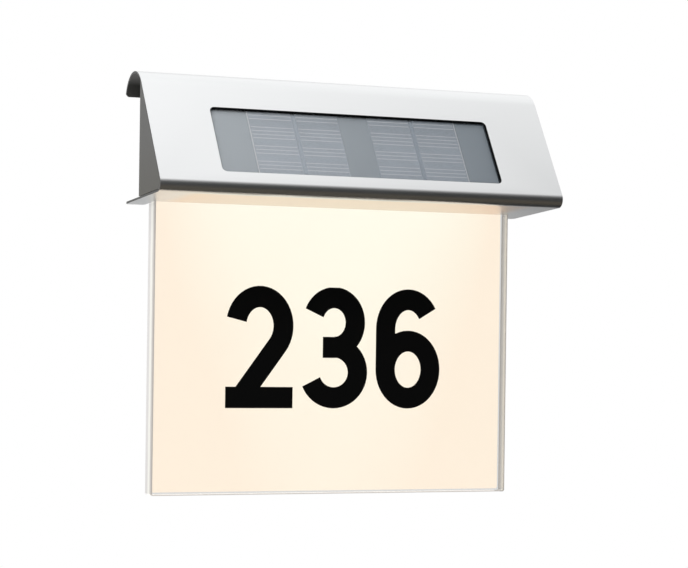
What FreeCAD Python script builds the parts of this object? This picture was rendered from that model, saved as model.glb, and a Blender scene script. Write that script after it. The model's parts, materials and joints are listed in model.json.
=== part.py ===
import FreeCAD, Part

import math
import os

import Sketcher
from FreeCAD import Placement, Rotation, Vector

# Solar house number light, hung on a wall.
# Frame: the wall is the plane y = 0 and the lamp's front faces -Y. X is the width, Z is up.
# The origin is midway between the wall bracket's two screw holes, on the wall.
# "Depth" is the distance in front of the wall, so a depth of d lies at y = -d.

DRIVING_SIZES = [
    # wall bracket
    ("bracket_width", 120.0, "plate, side to side"),
    ("bracket_up", 8.0, "plate above the screw line"),
    ("bracket_thick", 1.5, "stainless sheet"),
    ("bracket_corner", 4.0, "corner radius of the plate"),
    ("screw_spacing", 100.0, "hole to hole"),
    ("screw_hole", 4.5, "hole diameter"),
    ("trough_width", 2.7, "inside the bracket's hook"),
    ("trough_centre", -8.0, "height of the hook's bend centre"),
    ("trough_lip", -1.0, "height of the hook's front edge"),
    ("tongue_width", 80.0, "hook, side to side"),
    # hood
    ("hood_width", 205.0, "end to end"),
    ("hood_top", 22.0, "top of the roll over the screw line"),
    ("hood_thick", 1.0, "stainless sheet"),
    ("roll_radius", 13.5, "outside of the rolled top"),
    ("lip_drop", 10.7, "rear edge of the roll below its top"),
    ("face_angle", 57.0, "slope of the face in degrees"),
    ("face_length", 55.3, "flat of the face along the slope"),
    ("nose_radius", 4.0, "outside of the front bend"),
    ("flange_fall", 3.5, "fall of the bottom flange towards the wall in degrees"),
    ("ear_gap", 2.5, "wall to the flange's rear edge"),
    ("ear_radius", 1.5, "rear corners of the ears"),
    ("lip_corner", 1.5, "ends of the roll's rear edge"),
    ("notch_width", 186.4, "opening for the panel"),
    ("notch_radius", 1.0, "inner corners of the notch"),
    ("window_width", 143.0, "cut-out over the solar module"),
    ("window_top", 12.5, "down the slope from the roll"),
    ("window_height", 37.5, "along the slope"),
    ("window_corner", 2.5, "corner radius"),
    # housing and back cover
    ("fit_gap", 0.5, "hood to housing, filled by tape and seal"),
    ("end_inset", 0.5, "cheek behind the hood's end"),
    ("housing_back", 21.5, "depth of the housing's rear edge"),
    ("face_wall", 3.0, "housing wall under the module"),
    ("housing_wall", 2.0, "cheeks and floor"),
    ("cover_thick", 2.0, "back cover"),
    ("cover_gap", 0.3, "back cover to housing"),
    ("boss_radius", 3.0, "screw bosses"),
    ("boss_bore", 1.1, "radius of the bosses' pilot holes"),
    ("rib_thick", 1.6, "battery cradle ribs"),
    ("rib_pitch", 33.6, "rib to rib"),
    # solar module
    ("module_width", 152.0, "side to side"),
    ("module_top", 10.6, "down the slope from the roll"),
    ("module_height", 41.6, "along the slope"),
    ("pane_thick", 0.8, "clear cover sheet"),
    ("wafer_thick", 0.2, "cells"),
    ("board_thick", 1.2, "module's board"),
    ("wafer_width", 21.8, "one cell"),
    ("wafer_pitch", 23.8, "cell to cell inside a pair"),
    ("wafer_pair", 61.0, "middle of one pair to middle of the other"),
    ("wafer_shift", 1.3, "both pairs towards +X"),
    ("wafer_height", 40.0, "along the slope"),
    ("seal_band", 3.4, "width of the foam frame"),
    # acrylic panel and its holder
    ("panel_width", 185.0, "side to side"),
    ("panel_front", 16.8, "depth of the front face"),
    ("panel_thick", 10.0, "clear acrylic"),
    ("panel_top", -19.0, "upper edge, inside the holder"),
    ("panel_bottom", -177.0, "lower edge"),
    ("panel_bevel", 0.5, "polished edge bevel"),
    ("film_thick", 0.3, "white reflector film"),
    ("film_inset", 1.2, "film inside the panel's edge"),
    ("holder_width", 182.0, "side to side"),
    ("holder_top", -12.0, "roof of the holder"),
    ("holder_bottom", -36.6, "lower edges"),
    ("holder_wall", 2.0, "walls and roof"),
    ("holder_gap", 0.3, "panel to holder"),
    ("notch_deep", 6.0, "cut below the roof for the bracket's hook edge"),
    ("clamp_height", -29.0, "panel screws"),
    ("clamp_pitch", 70.0, "panel screw to panel screw"),
    ("clamp_bore", 3.4, "hole in the panel for a screw"),
    ("holder_screw_height", -18.0, "screws that hold the holder on the cover"),
    ("holder_screw_near", 28.0, "inner ones, from the middle"),
    ("holder_screw_far", 78.0, "outer ones, from the middle"),
    ("holder_boss", 2.7, "boss radius"),
    # lamp's hook
    ("hanger_width", 72.0, "side to side"),
    ("hanger_thick", 1.5, "stainless sheet"),
    ("hanger_rise", 0.3, "arm over the bracket's hook edge"),
    ("hanger_reach", 5.8, "hook leg below the arm"),
    ("hanger_leg", 10.0, "leg on the back cover"),
    ("hanger_pitch", 44.0, "screw to screw"),
    # circuit, switch and cells
    ("circuit_left", 54.0, "left edge of the main board"),
    ("circuit_width", 35.0, "side to side"),
    ("circuit_low", -31.0, "lower edge"),
    ("circuit_height", 27.0, "lower to upper edge"),
    ("circuit_depth", 25.7, "rear face"),
    ("circuit_thick", 1.6, "glass fibre board"),
    ("switch_across", 75.0, "switch centre"),
    ("switch_up", -9.0, "height of the switch"),
    ("switch_width", 13.0, "switch body"),
    ("switch_height", 5.6, "switch body"),
    ("switch_length", 3.4, "switch body, rear to front"),
    ("knob_width", 3.4, "slide knob"),
    ("knob_height", 3.2, "slide knob"),
    ("knob_rise", 3.4, "knob behind the switch body"),
    ("knob_travel", 4.0, "off to on"),
    ("battery_radius", 7.25, "one rechargeable cell"),
    ("battery_length", 50.5, "one rechargeable cell, with its button"),
    ("battery_depth", 35.0, "cell axis"),
    ("battery_up", -26.3, "cell axis"),
    ("led_board_width", 176.0, "side to side"),
    ("led_board_deep", 8.0, "front to back"),
    ("led_pitch", 29.0, "light to light"),
    ("led_count", 6.0, "lights in the row"),
]

doc = FreeCAD.newDocument("house_number_light")
sheet = doc.addObject("Spreadsheet::Sheet", "Sizes")
for row, (alias, number, note) in enumerate(DRIVING_SIZES, start=1):
    sheet.set(f"A{row}", alias)
    sheet.set(f"B{row}", str(number))
    sheet.set(f"C{row}", note)
    sheet.setAlias(f"B{row}", alias)
doc.recompute()


class Size:
    """A length or angle together with the spreadsheet expression that gives it."""

    def __init__(self, value, text):
        self.value = value
        self.text = text

    def __add__(self, other):
        other = as_size(other)
        return Size(self.value + other.value, f"({self.text} + {other.text})")

    def __sub__(self, other):
        other = as_size(other)
        return Size(self.value - other.value, f"({self.text} - {other.text})")

    def __mul__(self, other):
        other = as_size(other)
        return Size(self.value * other.value, f"{self.text} * {other.text}")

    def __truediv__(self, other):
        other = as_size(other)
        return Size(self.value / other.value, f"{self.text} / ({other.text})")

    def __neg__(self):
        return Size(-self.value, f"(0 - {self.text})")

    def __radd__(self, other):
        return as_size(other) + self

    def __rsub__(self, other):
        return as_size(other) - self

    def __rmul__(self, other):
        return as_size(other) * self


def as_size(number):
    """Wrap a plain number, so that it can stand in a formula."""
    return number if isinstance(number, Size) else Size(float(number), f"({number})")


def size(alias):
    """One driving size."""
    return Size(float(sheet.get(alias)), f"Sizes.{alias}")


def sine(angle):
    return Size(math.sin(math.radians(angle.value)), f"sin({angle.text})")


def cosine(angle):
    return Size(math.cos(math.radians(angle.value)), f"cos({angle.text})")


def tangent(angle):
    return Size(math.tan(math.radians(angle.value)), f"tan({angle.text})")


# --- helpers for bodies, sketches and features -------------------------------------------


def new_body(name):
    """An empty body whose label is the sub-part's name."""
    body = doc.addObject("PartDesign::Body", name)
    body.Label = name
    return body


def new_sketch(body, name, role, shift=None, turn_x=None):
    """A sketch on one of the body's origin planes, moved by shift and turned about X."""
    plane = [item for item in body.Origin.OriginFeatures if item.Role == role][0]
    sketch = body.newObject("Sketcher::SketchObject", f"{body.Name}_{name}")
    sketch.AttachmentSupport = (plane, [""])
    sketch.MapMode = "FlatFace"
    if turn_x is not None:
        sketch.AttachmentOffset = Placement(Vector(), Rotation(Vector(1, 0, 0), turn_x.value))
        sketch.setExpression("AttachmentOffset.Rotation.Angle", turn_x.text)
    for letter, amount in zip("xyz", shift or ()):
        sketch.setExpression(f"AttachmentOffset.Base.{letter}", as_size(amount).text)
    return sketch


def fix(sketch, kind, geometry, end, amount):
    """Hold one end of a sketch element at a distance from the sketch's origin."""
    amount = as_size(amount)
    index = sketch.addConstraint(Sketcher.Constraint(kind, -1, 1, geometry, end, amount.value))
    sketch.setExpression(f"Constraints[{index}]", amount.text)


# past this sweep an arc is held by its centre, because near a half turn its radius holds nothing
HALF_TURN_LIMIT = math.radians(170)


def outline(sketch, corners):
    """A closed loop. A corner is (x, y), or (x, y, radius, centre_x, centre_y, sense) where an
    arc starts there: sense is 1 for an arc that turns left and -1 for one that turns right."""
    corners = [[as_size(value) for value in corner[:5]] + list(corner[5:]) for corner in corners]
    ends = []
    for number, corner in enumerate(corners):
        following = corners[(number + 1) % len(corners)]
        start = Vector(corner[0].value, corner[1].value, 0)
        finish = Vector(following[0].value, following[1].value, 0)
        if len(corner) == 2:
            geometry = sketch.addGeometry(Part.LineSegment(start, finish))
            ends.append((geometry, 1, 2))
            continue
        centre = Vector(corner[3].value, corner[4].value, 0)
        circle = Part.Circle(centre, Vector(0, 0, 1), corner[2].value)
        first, last = (start, finish) if corner[5] > 0 else (finish, start)
        angles = [math.atan2(point.y - centre.y, point.x - centre.x) for point in (first, last)]
        if angles[1] < angles[0]:
            angles[1] += 2 * math.pi
        geometry = sketch.addGeometry(Part.ArcOfCircle(circle, angles[0], angles[1]))
        if angles[1] - angles[0] < HALF_TURN_LIMIT:
            index = sketch.addConstraint(Sketcher.Constraint("Radius", geometry, corner[2].value))
            sketch.setExpression(f"Constraints[{index}]", corner[2].text)
        elif abs(finish.x - start.x) > abs(finish.y - start.y):
            fix(sketch, "DistanceY", geometry, 3, corner[4])
        else:
            fix(sketch, "DistanceX", geometry, 3, corner[3])
        ends.append((geometry, 1, 2) if corner[5] > 0 else (geometry, 2, 1))
    for number, corner in enumerate(corners):
        geometry, start_end, _ = ends[number]
        previous, _, last_end = ends[number - 1]
        fix(sketch, "DistanceX", geometry, start_end, corner[0])
        fix(sketch, "DistanceY", geometry, start_end, corner[1])
        sketch.addConstraint(
            Sketcher.Constraint("Coincident", previous, last_end, geometry, start_end)
        )


def rectangle(sketch, left, low, right, high, radius=None):
    """A rectangle, with round corners where a radius is given."""
    left, low, right, high = (as_size(value) for value in (left, low, right, high))
    if radius is None:
        outline(sketch, [(left, low), (right, low), (right, high), (left, high)])
        return
    outline(
        sketch,
        [
            (left + radius, low),
            (right - radius, low, radius, right - radius, low + radius, 1),
            (right, low + radius),
            (right, high - radius, radius, right - radius, high - radius, 1),
            (right - radius, high),
            (left + radius, high, radius, left + radius, high - radius, 1),
            (left, high - radius),
            (left, low + radius, radius, left + radius, low + radius, 1),
        ],
    )


def circle(sketch, across, up, radius):
    """A full circle."""
    across, up, radius = (as_size(value) for value in (across, up, radius))
    middle = Vector(across.value, up.value, 0)
    geometry = sketch.addGeometry(Part.Circle(middle, Vector(0, 0, 1), radius.value))
    index = sketch.addConstraint(Sketcher.Constraint("Radius", geometry, radius.value))
    sketch.setExpression(f"Constraints[{index}]", radius.text)
    fix(sketch, "DistanceX", geometry, 3, across)
    fix(sketch, "DistanceY", geometry, 3, up)


def pad(sketch, length, both_ways=False, reverse=False):
    """Add the sketch's area, grown along its normal."""
    return grow("Pad", sketch, length, both_ways, reverse)


def pocket(sketch, length, both_ways=False, reverse=False):
    """Cut the sketch's area, by default against its normal. The cut has to remove something."""
    body = sketch.getParentGeoFeatureGroup()
    before = body.Shape.Volume
    feature = grow("Pocket", sketch, length, both_ways, reverse)
    if before - feature.Shape.Volume < 1e-3:
        raise RuntimeError(f"{feature.Name} cuts nothing")
    return feature


def grow(kind, sketch, length, both_ways, reverse):
    body = sketch.getParentGeoFeatureGroup()
    feature = body.newObject(f"PartDesign::{kind}", f"{sketch.Name}_{kind.lower()}")
    feature.Profile = sketch
    feature.SideType = "Symmetric" if both_ways else "One side"
    feature.Reversed = reverse
    feature.setExpression("Length", as_size(length).text)
    sketch.Visibility = False
    doc.recompute()
    return feature


def edges_where(feature, wanted):
    """Names of the feature's edges whose middle point and direction pass the test."""
    names = []
    for number, edge in enumerate(feature.Shape.Edges, start=1):
        middle = edge.valueAt((edge.FirstParameter + edge.LastParameter) / 2)
        along = edge.tangentAt((edge.FirstParameter + edge.LastParameter) / 2)
        if wanted(middle, along, edge.Length):
            names.append(f"Edge{number}")
    return names


def soften(kind, body, radius, wanted):
    """Fillet or chamfer the edges of the body's tip that pass the test."""
    tip = body.Tip
    names = edges_where(tip, wanted)
    if not names:
        raise RuntimeError(f"{body.Name} has no edge to soften")
    feature = body.newObject(f"PartDesign::{kind}", f"{body.Name}_{kind.lower()}")
    feature.Base = (tip, names)
    feature.setExpression("Radius" if kind == "Fillet" else "Size", as_size(radius).text)
    doc.recompute()
    return feature


def solid_group(name, pieces):
    """One sub-part made of several separate like solids."""
    group = doc.addObject("Part::Compound", name)
    group.Label = name
    group.Links = pieces
    doc.recompute()
    return group


def block(name, left, near, low, width, deep, tall):
    """A box whose corner is at x = left, depth = near, z = low, and that runs away from the wall."""
    item = doc.addObject("Part::Box", name)
    for label, amount in (("Length", width), ("Width", deep), ("Height", tall)):
        item.setExpression(label, as_size(amount).text)
    item.setExpression("Placement.Base.x", as_size(left).text)
    item.setExpression("Placement.Base.y", (-(as_size(near) + deep)).text)
    item.setExpression("Placement.Base.z", as_size(low).text)
    return item


def rod(name, radius, length, across, near, up, turn):
    """A cylinder that starts at x = across, depth = near, z = up and runs along the turned Z."""
    item = doc.addObject("Part::Cylinder", name)
    item.Placement = Placement(Vector(), turn)
    item.setExpression("Radius", as_size(radius).text)
    item.setExpression("Height", as_size(length).text)
    item.setExpression("Placement.Base.x", as_size(across).text)
    item.setExpression("Placement.Base.y", (-as_size(near)).text)
    item.setExpression("Placement.Base.z", as_size(up).text)
    return item


TO_FRONT = Rotation(Vector(1, 0, 0), 90)
TO_RIGHT = Rotation(Vector(0, 1, 0), 90)

# --- the hood's section, which the housing and the solar module follow -------------------

roll_depth = size("roll_radius")
roll_height = size("hood_top") - size("roll_radius")
slope_sine = sine(size("face_angle"))
slope_cosine = cosine(size("face_angle"))
fall_sine = sine(size("flange_fall"))
fall_cosine = cosine(size("flange_fall"))
face_depth = roll_depth + size("roll_radius") * slope_sine
face_height = roll_height + size("roll_radius") * slope_cosine
nose_depth = face_depth + size("face_length") * slope_cosine - size("nose_radius") * slope_sine
nose_height = face_height - size("face_length") * slope_sine - size("nose_radius") * slope_cosine


def on_roll(inward):
    """Where the face leaves the roll, for a surface that lies inward of the hood's outside."""
    radius = size("roll_radius") - inward
    return roll_depth + radius * slope_sine, roll_height + radius * slope_cosine


def face_end(inward):
    """Where the face meets the front bend."""
    radius = size("nose_radius") - inward
    return nose_depth + radius * slope_sine, nose_height + radius * slope_cosine


def flange_start(inward):
    """Where the front bend meets the bottom flange."""
    radius = size("nose_radius") - inward
    return nose_depth + radius * fall_sine, nose_height - radius * fall_cosine


def flange_height(inward, depth):
    """Height of the flange's surface at a depth."""
    start_depth, start_height = flange_start(inward)
    return start_height - (start_depth - depth) * tangent(size("flange_fall"))


def face_level(inward, depth):
    """Height of the face's surface at a depth."""
    start_depth, start_height = on_roll(inward)
    return start_height - (as_size(depth) - start_depth) * tangent(size("face_angle"))


def roll_level(inward, depth):
    """Height of the roll's surface at a depth, in front of the roll's centre."""
    radius, ahead = as_size(size("roll_radius") - inward), as_size(depth) - roll_depth
    rise = Size(
        math.sqrt(radius.value**2 - ahead.value**2), f"sqrt({radius.text} ^ 2 - {ahead.text} ^ 2)"
    )
    return roll_height + rise


def face_sketch(body, name, inward):
    """A sketch parallel to the face, inward of its outside. Its origin is where the face leaves
    the roll, its x runs along the hood and its y runs up the slope."""
    depth = face_depth - inward * slope_sine
    height = face_height - inward * slope_cosine
    return new_sketch(body, name, "XY_Plane", (0, -depth, height), size("face_angle"))


# --- wall bracket -------------------------------------------------------------------------


def make_wall_bracket():
    """Plate on the wall whose lower edge is bent up into a trough that the lamp hooks into."""
    body = new_body("wall_bracket")
    sheet_thick = size("bracket_thick")
    inner = size("trough_width") / 2
    outer = inner + sheet_thick
    middle = sheet_thick + inner
    bend = size("trough_centre")
    lip = size("trough_lip")
    profile = new_sketch(body, "hook", "YZ_Plane")
    outline(
        profile,
        [
            (-(middle + outer), lip),
            (-(middle + outer), bend, outer, -middle, bend, 1),
            (-(middle - outer), bend),
            (-(middle - outer), size("bracket_up")),
            (-sheet_thick, size("bracket_up")),
            (-sheet_thick, bend, inner, -middle, bend, -1),
            (-(middle + inner), bend),
            (-(middle + inner), lip),
        ],
    )
    pad(profile, size("tongue_width"), both_ways=True)
    plate = new_sketch(body, "plate", "XZ_Plane")
    half = size("bracket_width") / 2
    rectangle(plate, -half, bend, half, size("bracket_up"), size("bracket_corner"))
    pad(plate, sheet_thick)
    holes = new_sketch(body, "holes", "XZ_Plane")
    for side in (-1, 1):
        circle(holes, size("screw_spacing") / 2 * side, 0, size("screw_hole") / 2)
    pocket(holes, sheet_thick, reverse=True)
    return body


# --- hood ---------------------------------------------------------------------------------


def make_hood():
    """One bent sheet: rolled top, sloped face with a window, front bend and notched flange."""
    body = new_body("hood")
    thick = size("hood_thick")
    outer = size("roll_radius")
    inner = outer - thick
    nose_outer = size("nose_radius")
    nose_inner = nose_outer - thick
    lip = size("hood_top") - size("lip_drop")
    lip_angle_sine = (outer - size("lip_drop")) / outer
    lip_swing = Size(
        math.sqrt(1 - lip_angle_sine.value**2), f"sqrt(1 - ({lip_angle_sine.text}) ^ 2)"
    )
    rear = size("ear_gap")
    profile = new_sketch(body, "section", "YZ_Plane")
    outer_face, inner_face = on_roll(0), on_roll(thick)
    outer_end, inner_end = face_end(0), face_end(thick)
    outer_flange, inner_flange = flange_start(0), flange_start(thick)
    outline(
        profile,
        [
            (-(roll_depth - outer * lip_swing), lip, outer, -roll_depth, roll_height, 1),
            (-outer_face[0], outer_face[1]),
            (-outer_end[0], outer_end[1], nose_outer, -nose_depth, nose_height, 1),
            (-outer_flange[0], outer_flange[1]),
            (-rear, flange_height(0, rear)),
            (-rear, flange_height(thick, rear)),
            (-inner_flange[0], inner_flange[1], nose_inner, -nose_depth, nose_height, -1),
            (-inner_end[0], inner_end[1]),
            (-inner_face[0], inner_face[1], inner, -roll_depth, roll_height, -1),
            (
                -(roll_depth - inner * lip_swing),
                roll_height + inner * lip_angle_sine,
            ),
        ],
    )
    pad(profile, size("hood_width"), both_ways=True)
    window = face_sketch(body, "window", 0)
    half = size("window_width") / 2
    top = -size("window_top")
    rectangle(window, -half, top - size("window_height"), half, top, size("window_corner"))
    pocket(window, thick * 1.5)
    notch = new_sketch(body, "notch", "XY_Plane", (0, 0, flange_height(0, 0) - thick))
    half = size("notch_width") / 2
    front = size("panel_front") + size("holder_gap")
    radius = size("notch_radius")
    outline(
        notch,
        [
            (-half, 0),
            (-half, -(front - radius), radius, -half + radius, -(front - radius), 1),
            (-half + radius, -front),
            (half - radius, -front, radius, half - radius, -(front - radius), 1),
            (half, -(front - radius)),
            (half, 0),
        ],
    )
    pocket(notch, thick * 5, reverse=True)
    # the short edges through the sheet at the flange's rear and at the ends of the roll's lip
    level = flange_height(0, rear).value
    soften(
        "Fillet",
        body,
        size("ear_radius"),
        lambda middle, along, length: abs(middle.y + rear.value) < 0.05
        and abs(middle.z - level) < 2
        and length < 1.5,
    )
    end, lip_level = size("hood_width").value / 2, lip.value
    soften(
        "Fillet",
        body,
        size("lip_corner"),
        lambda middle, along, length: abs(abs(middle.x) - end) < 0.01
        and abs(middle.z - lip_level) < 0.6
        and middle.y > -2
        and length < 1.5,
    )
    return body


# --- housing ------------------------------------------------------------------------------


def housing_outside(sketch, back):
    """The housing's section: under the roll, along the face, round the bend, along the floor."""
    inward = size("hood_thick") + size("fit_gap")
    top, end, start = on_roll(inward), face_end(inward), flange_start(inward)
    roll = size("roll_radius") - inward
    outline(
        sketch,
        [
            (-back, roll_level(inward, back), roll, -roll_depth, roll_height, 1),
            (-top[0], top[1]),
            (-end[0], end[1], size("nose_radius") - inward, -nose_depth, nose_height, 1),
            (-start[0], start[1]),
            (-back, flange_height(inward, back)),
        ],
    )


def housing_inside(sketch, back):
    """The cavity's section. The two flat insides meet in a sharp corner at the front."""
    outside = size("hood_thick") + size("fit_gap")
    under_face, over_floor = outside + size("face_wall"), outside + size("housing_wall")
    steepness = tangent(size("face_angle")) + tangent(size("flange_fall"))
    corner = (face_level(under_face, 0) - flange_height(over_floor, 0)) / steepness
    outline(
        sketch,
        [
            (-back, face_level(under_face, back)),
            (-corner, face_level(under_face, corner)),
            (-back, flange_height(over_floor, back)),
        ],
    )


BOSS_PLACES = [(94.6, 3.0), (48.0, 3.0), (94.6, -29.4)]
SEAL_THICK = 0.8
SEAL_BAND = 1.2
LEDGE_DEEP = 1.5
PILOT_BEYOND_COVER = 4.2
# hole in the housing's face for the module's leads, in the face's own directions
MODULE_LEAD_HOLE = (66, -38, 72, -34)
# lower and upper end of the battery cradle's ribs
RIB_LOW, RIB_HIGH = -38, -14
# slot through the cover and the holder for the leads to the lights
LEAD_SLOT = (82, -18.4, 86, -14.6)


def cover_edges():
    """Lower and upper edge of the back cover, and half its width."""
    back, gap = size("housing_back"), size("cover_gap")
    outside = size("hood_thick") + size("fit_gap")
    low = flange_height(outside + size("housing_wall"), back) + gap + 0.2
    high = face_level(outside + size("face_wall"), back + size("cover_thick")) - gap
    half = size("hood_width") / 2 - size("end_inset") - size("housing_wall") - gap
    return low, high, half


def boss_centres():
    """Back cover screws: three on each side."""
    return [(across * side, up) for across, up in BOSS_PLACES for side in (-1, 1)]


def make_housing():
    """Moulded box under the hood, open at the back, with the module's seat in its face."""
    body = new_body("housing")
    outside = size("hood_thick") + size("fit_gap")
    back = size("housing_back")
    width = size("hood_width") - size("end_inset") * 2
    inside_width = width - size("housing_wall") * 2
    section = new_sketch(body, "section", "YZ_Plane")
    housing_outside(section, back)
    pad(section, width, both_ways=True)
    cavity = new_sketch(body, "cavity", "YZ_Plane")
    housing_inside(cavity, back - 1)
    pocket(cavity, inside_width, both_ways=True)

    # the inside features grow past the face and are trimmed by the outside afterwards
    beyond_face = 26
    bosses = new_sketch(body, "bosses", "XZ_Plane", (0, 0, back + size("cover_thick")))
    for across, up in boss_centres():
        circle(bosses, across, up, size("boss_radius"))
    pad(bosses, beyond_face)
    ledge = new_sketch(body, "ledge", "XZ_Plane", (0, 0, back + size("cover_thick") + SEAL_THICK))
    low, high, half = cover_edges()
    reach = size("cover_gap") + 1.5
    inner = 1.5
    rectangle(ledge, -half - reach, low - reach, half + reach, high + reach)
    rectangle(ledge, -half + inner, low + inner, half - inner, high - 3.1, 1)
    pad(ledge, LEDGE_DEEP)
    ribs = new_sketch(body, "ribs", "XZ_Plane", (0, 0, size("battery_depth")))
    half_rib = size("rib_thick") / 2
    for step in (-1.5, -0.5, 0.5, 1.5):
        middle = size("rib_pitch") * step
        rectangle(ribs, middle - half_rib, RIB_LOW, middle + half_rib, RIB_HIGH)
    pad(ribs, beyond_face)
    trim = new_sketch(body, "trim", "YZ_Plane")
    high, deep, low = 40, 90, -60
    start, end = on_roll(outside), face_end(outside)
    floor, radius = flange_start(outside), size("nose_radius") - outside
    outline(
        trim,
        [
            (-start[0], high),
            (-start[0], start[1]),
            (-end[0], end[1], radius, -nose_depth, nose_height, 1),
            (-floor[0], floor[1]),
            (-size("roll_radius"), flange_height(outside, size("roll_radius"))),
            (-size("roll_radius"), low),
            (-deep, low),
            (-deep, high),
        ],
    )
    pocket(trim, size("hood_width"), both_ways=True)
    bed = new_sketch(body, "battery_bed", "YZ_Plane")
    circle(bed, -size("battery_depth"), size("battery_up"), size("battery_radius") + 0.3)
    pocket(bed, size("rib_pitch") * 3 + 6, both_ways=True)
    pilots = new_sketch(body, "pilots", "XZ_Plane", (0, 0, back))
    for across, up in boss_centres():
        circle(pilots, across, up, size("boss_bore"))
    pocket(pilots, size("cover_thick") + PILOT_BEYOND_COVER, reverse=True)
    seat = face_sketch(body, "module_seat", outside)
    half = size("module_width") / 2 + 0.2
    top = -size("module_top") + 0.2
    rectangle(seat, -half, top - size("module_height") - 0.4, half, top, size("window_corner"))
    depth = size("pane_thick") + size("wafer_thick") + size("board_thick")
    pocket(seat, depth)
    hole = face_sketch(body, "lead_hole", outside)
    rectangle(hole, *MODULE_LEAD_HOLE)
    pocket(hole, size("face_wall") + 1)
    return body


def make_back_cover():
    """Plate that closes the housing, with the switch opening and the screw holes."""
    body = new_body("back_cover")
    back = size("housing_back")
    low, high, half = cover_edges()
    plate = new_sketch(body, "plate", "XZ_Plane", (0, 0, back))
    rectangle(plate, -half, low, half, high, 2)
    pad(plate, size("cover_thick"))
    posts = new_sketch(body, "posts", "XZ_Plane", (0, 0, back + size("cover_thick")))
    for across, up in circuit_screws():
        circle(posts, across, up, 2.2)
    pad(posts, size("circuit_depth") - back - size("cover_thick"))
    cuts = new_sketch(body, "cuts", "XZ_Plane", (0, 0, back))
    middle, up = size("switch_across"), size("switch_up")
    wide, tall = size("switch_width") / 2 + 0.3, size("switch_height") / 2 + 0.3
    rectangle(cuts, middle - wide, up - tall, middle + wide, up + tall, 0.6)
    for across, up in boss_centres():
        circle(cuts, across, up, 1.6)
    for side in (-1, 1):
        circle(cuts, size("hanger_pitch") / 2 * side, hanger_screw_height(), 1.3)
    for across, up in holder_screws():
        circle(cuts, across, up, 1.3)
    rectangle(cuts, *LEAD_SLOT, 1)
    pocket(cuts, size("cover_thick"), reverse=True)
    pilots = new_sketch(body, "pilots", "XZ_Plane", (0, 0, size("circuit_depth")))
    for across, up in circuit_screws():
        circle(pilots, across, up, 0.9)
    pocket(pilots, size("circuit_depth") - back - 0.6)
    return body


def make_back_cover_seal():
    """Foam ring between the cover and the ledge inside the housing's opening."""
    body = new_body("back_cover_seal")
    low, high, half = cover_edges()
    ring = new_sketch(body, "ring", "XZ_Plane", (0, 0, size("housing_back") + size("cover_thick")))
    top = high - 1.6
    rectangle(ring, -half + 0.2, low + 0.2, half - 0.2, top, 2)
    inner = SEAL_BAND + 0.2
    rectangle(ring, -half + inner, low + inner, half - inner, top - SEAL_BAND, 1)
    pad(ring, SEAL_THICK)
    return body


def make_cover_screws():
    """Pan head screws through the back cover into the housing's bosses."""
    back = size("housing_back")
    return screw_group("back_cover_screws", boss_centres(), back, 2.6, 1.6, 1.0, 5.6)


def screw_group(name, places, seat, head_radius, head_height, shank_radius, length, front=False):
    """Like screws whose heads sit at a depth, on the rear or on the front of what they hold.
    Each is a round head with a cross recess, and its shank."""
    pieces = []
    head_near = as_size(seat) if front else as_size(seat) - head_height
    shank_near = as_size(seat) - length if front else as_size(seat)
    outer_face = as_size(seat) + head_height if front else head_near
    recess_deep = head_height * 0.45
    recess_near = outer_face - recess_deep if front else outer_face
    for number, (across, up) in enumerate(places, start=1):
        head = rod(f"{name}_head_{number}", head_radius, head_height, across, head_near, up,
                   TO_FRONT)
        shank = rod(f"{name}_shank_{number}", shank_radius, length, across, shank_near, up,
                    TO_FRONT)
        whole = doc.addObject("Part::Fuse", f"{name}_body_{number}")
        whole.Base, whole.Tool = head, shank
        arm, half_arm, half_slot = head_radius * 1.1, head_radius * 0.55, 0.35
        slot = block(f"{name}_slot_{number}", as_size(across) - half_arm, recess_near,
                     as_size(up) - half_slot, arm, recess_deep, half_slot * 2)
        cross = block(f"{name}_cross_{number}", as_size(across) - half_slot, recess_near,
                      as_size(up) - half_arm, half_slot * 2, recess_deep, arm)
        recess = doc.addObject("Part::Fuse", f"{name}_recess_{number}")
        recess.Base, recess.Tool = slot, cross
        finished = doc.addObject("Part::Cut", f"{name}_{number}")
        finished.Base, finished.Tool = whole, recess
        pieces.append(finished)
    return solid_group(name, pieces)


# --- solar module -------------------------------------------------------------------------

seal_inward = size("hood_thick")
pane_inward = seal_inward + size("fit_gap")
wafer_inward = pane_inward + size("pane_thick")
board_inward = wafer_inward + size("wafer_thick")
board_under = board_inward + size("board_thick")


def module_plate(name, under, thick, shrink=0):
    """A sheet of the module's outline between two levels under the hood's face."""
    body = new_body(name)
    area = face_sketch(body, "area", under)
    half = size("module_width") / 2 - shrink
    top = -size("module_top") - shrink
    rectangle(area, -half, -size("module_top") - size("module_height") + shrink, half, top, 2)
    pad(area, thick)
    return body


def make_solar_seal():
    """Foam frame between the hood's face and the module, all round the window."""
    body = new_body("solar_seal")
    frame = face_sketch(body, "frame", pane_inward)
    half = size("module_width") / 2
    top, low = -size("module_top"), -size("module_top") - size("module_height")
    band = size("seal_band")
    rectangle(frame, -half, low, half, top, 2)
    inner_top = -size("window_top") + 0.8
    inner_low = -size("window_top") - size("window_height") - 0.8
    rectangle(frame, -half + band, inner_low, half - band, inner_top, 1)
    pad(frame, size("fit_gap"))
    return body


def make_solar_cells():
    """Thin silicon cells side by side between the pane and the module's board."""
    pieces = []
    columns = [(pair, side) for pair in (-0.5, 0.5) for side in (-0.5, 0.5)]
    for number, (pair, side) in enumerate(columns, start=1):
        body = new_body(f"solar_cell_{number}")
        area = face_sketch(body, "area", board_inward)
        middle = size("wafer_shift") + size("wafer_pair") * pair + size("wafer_pitch") * side
        half = size("wafer_width") / 2
        top = -size("module_top") - (size("module_height") - size("wafer_height")) / 2
        rectangle(area, middle - half, top - size("wafer_height"), middle + half, top)
        pad(area, size("wafer_thick"))
        pieces.append(body)
    return solid_group("solar_cells", pieces)


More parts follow.
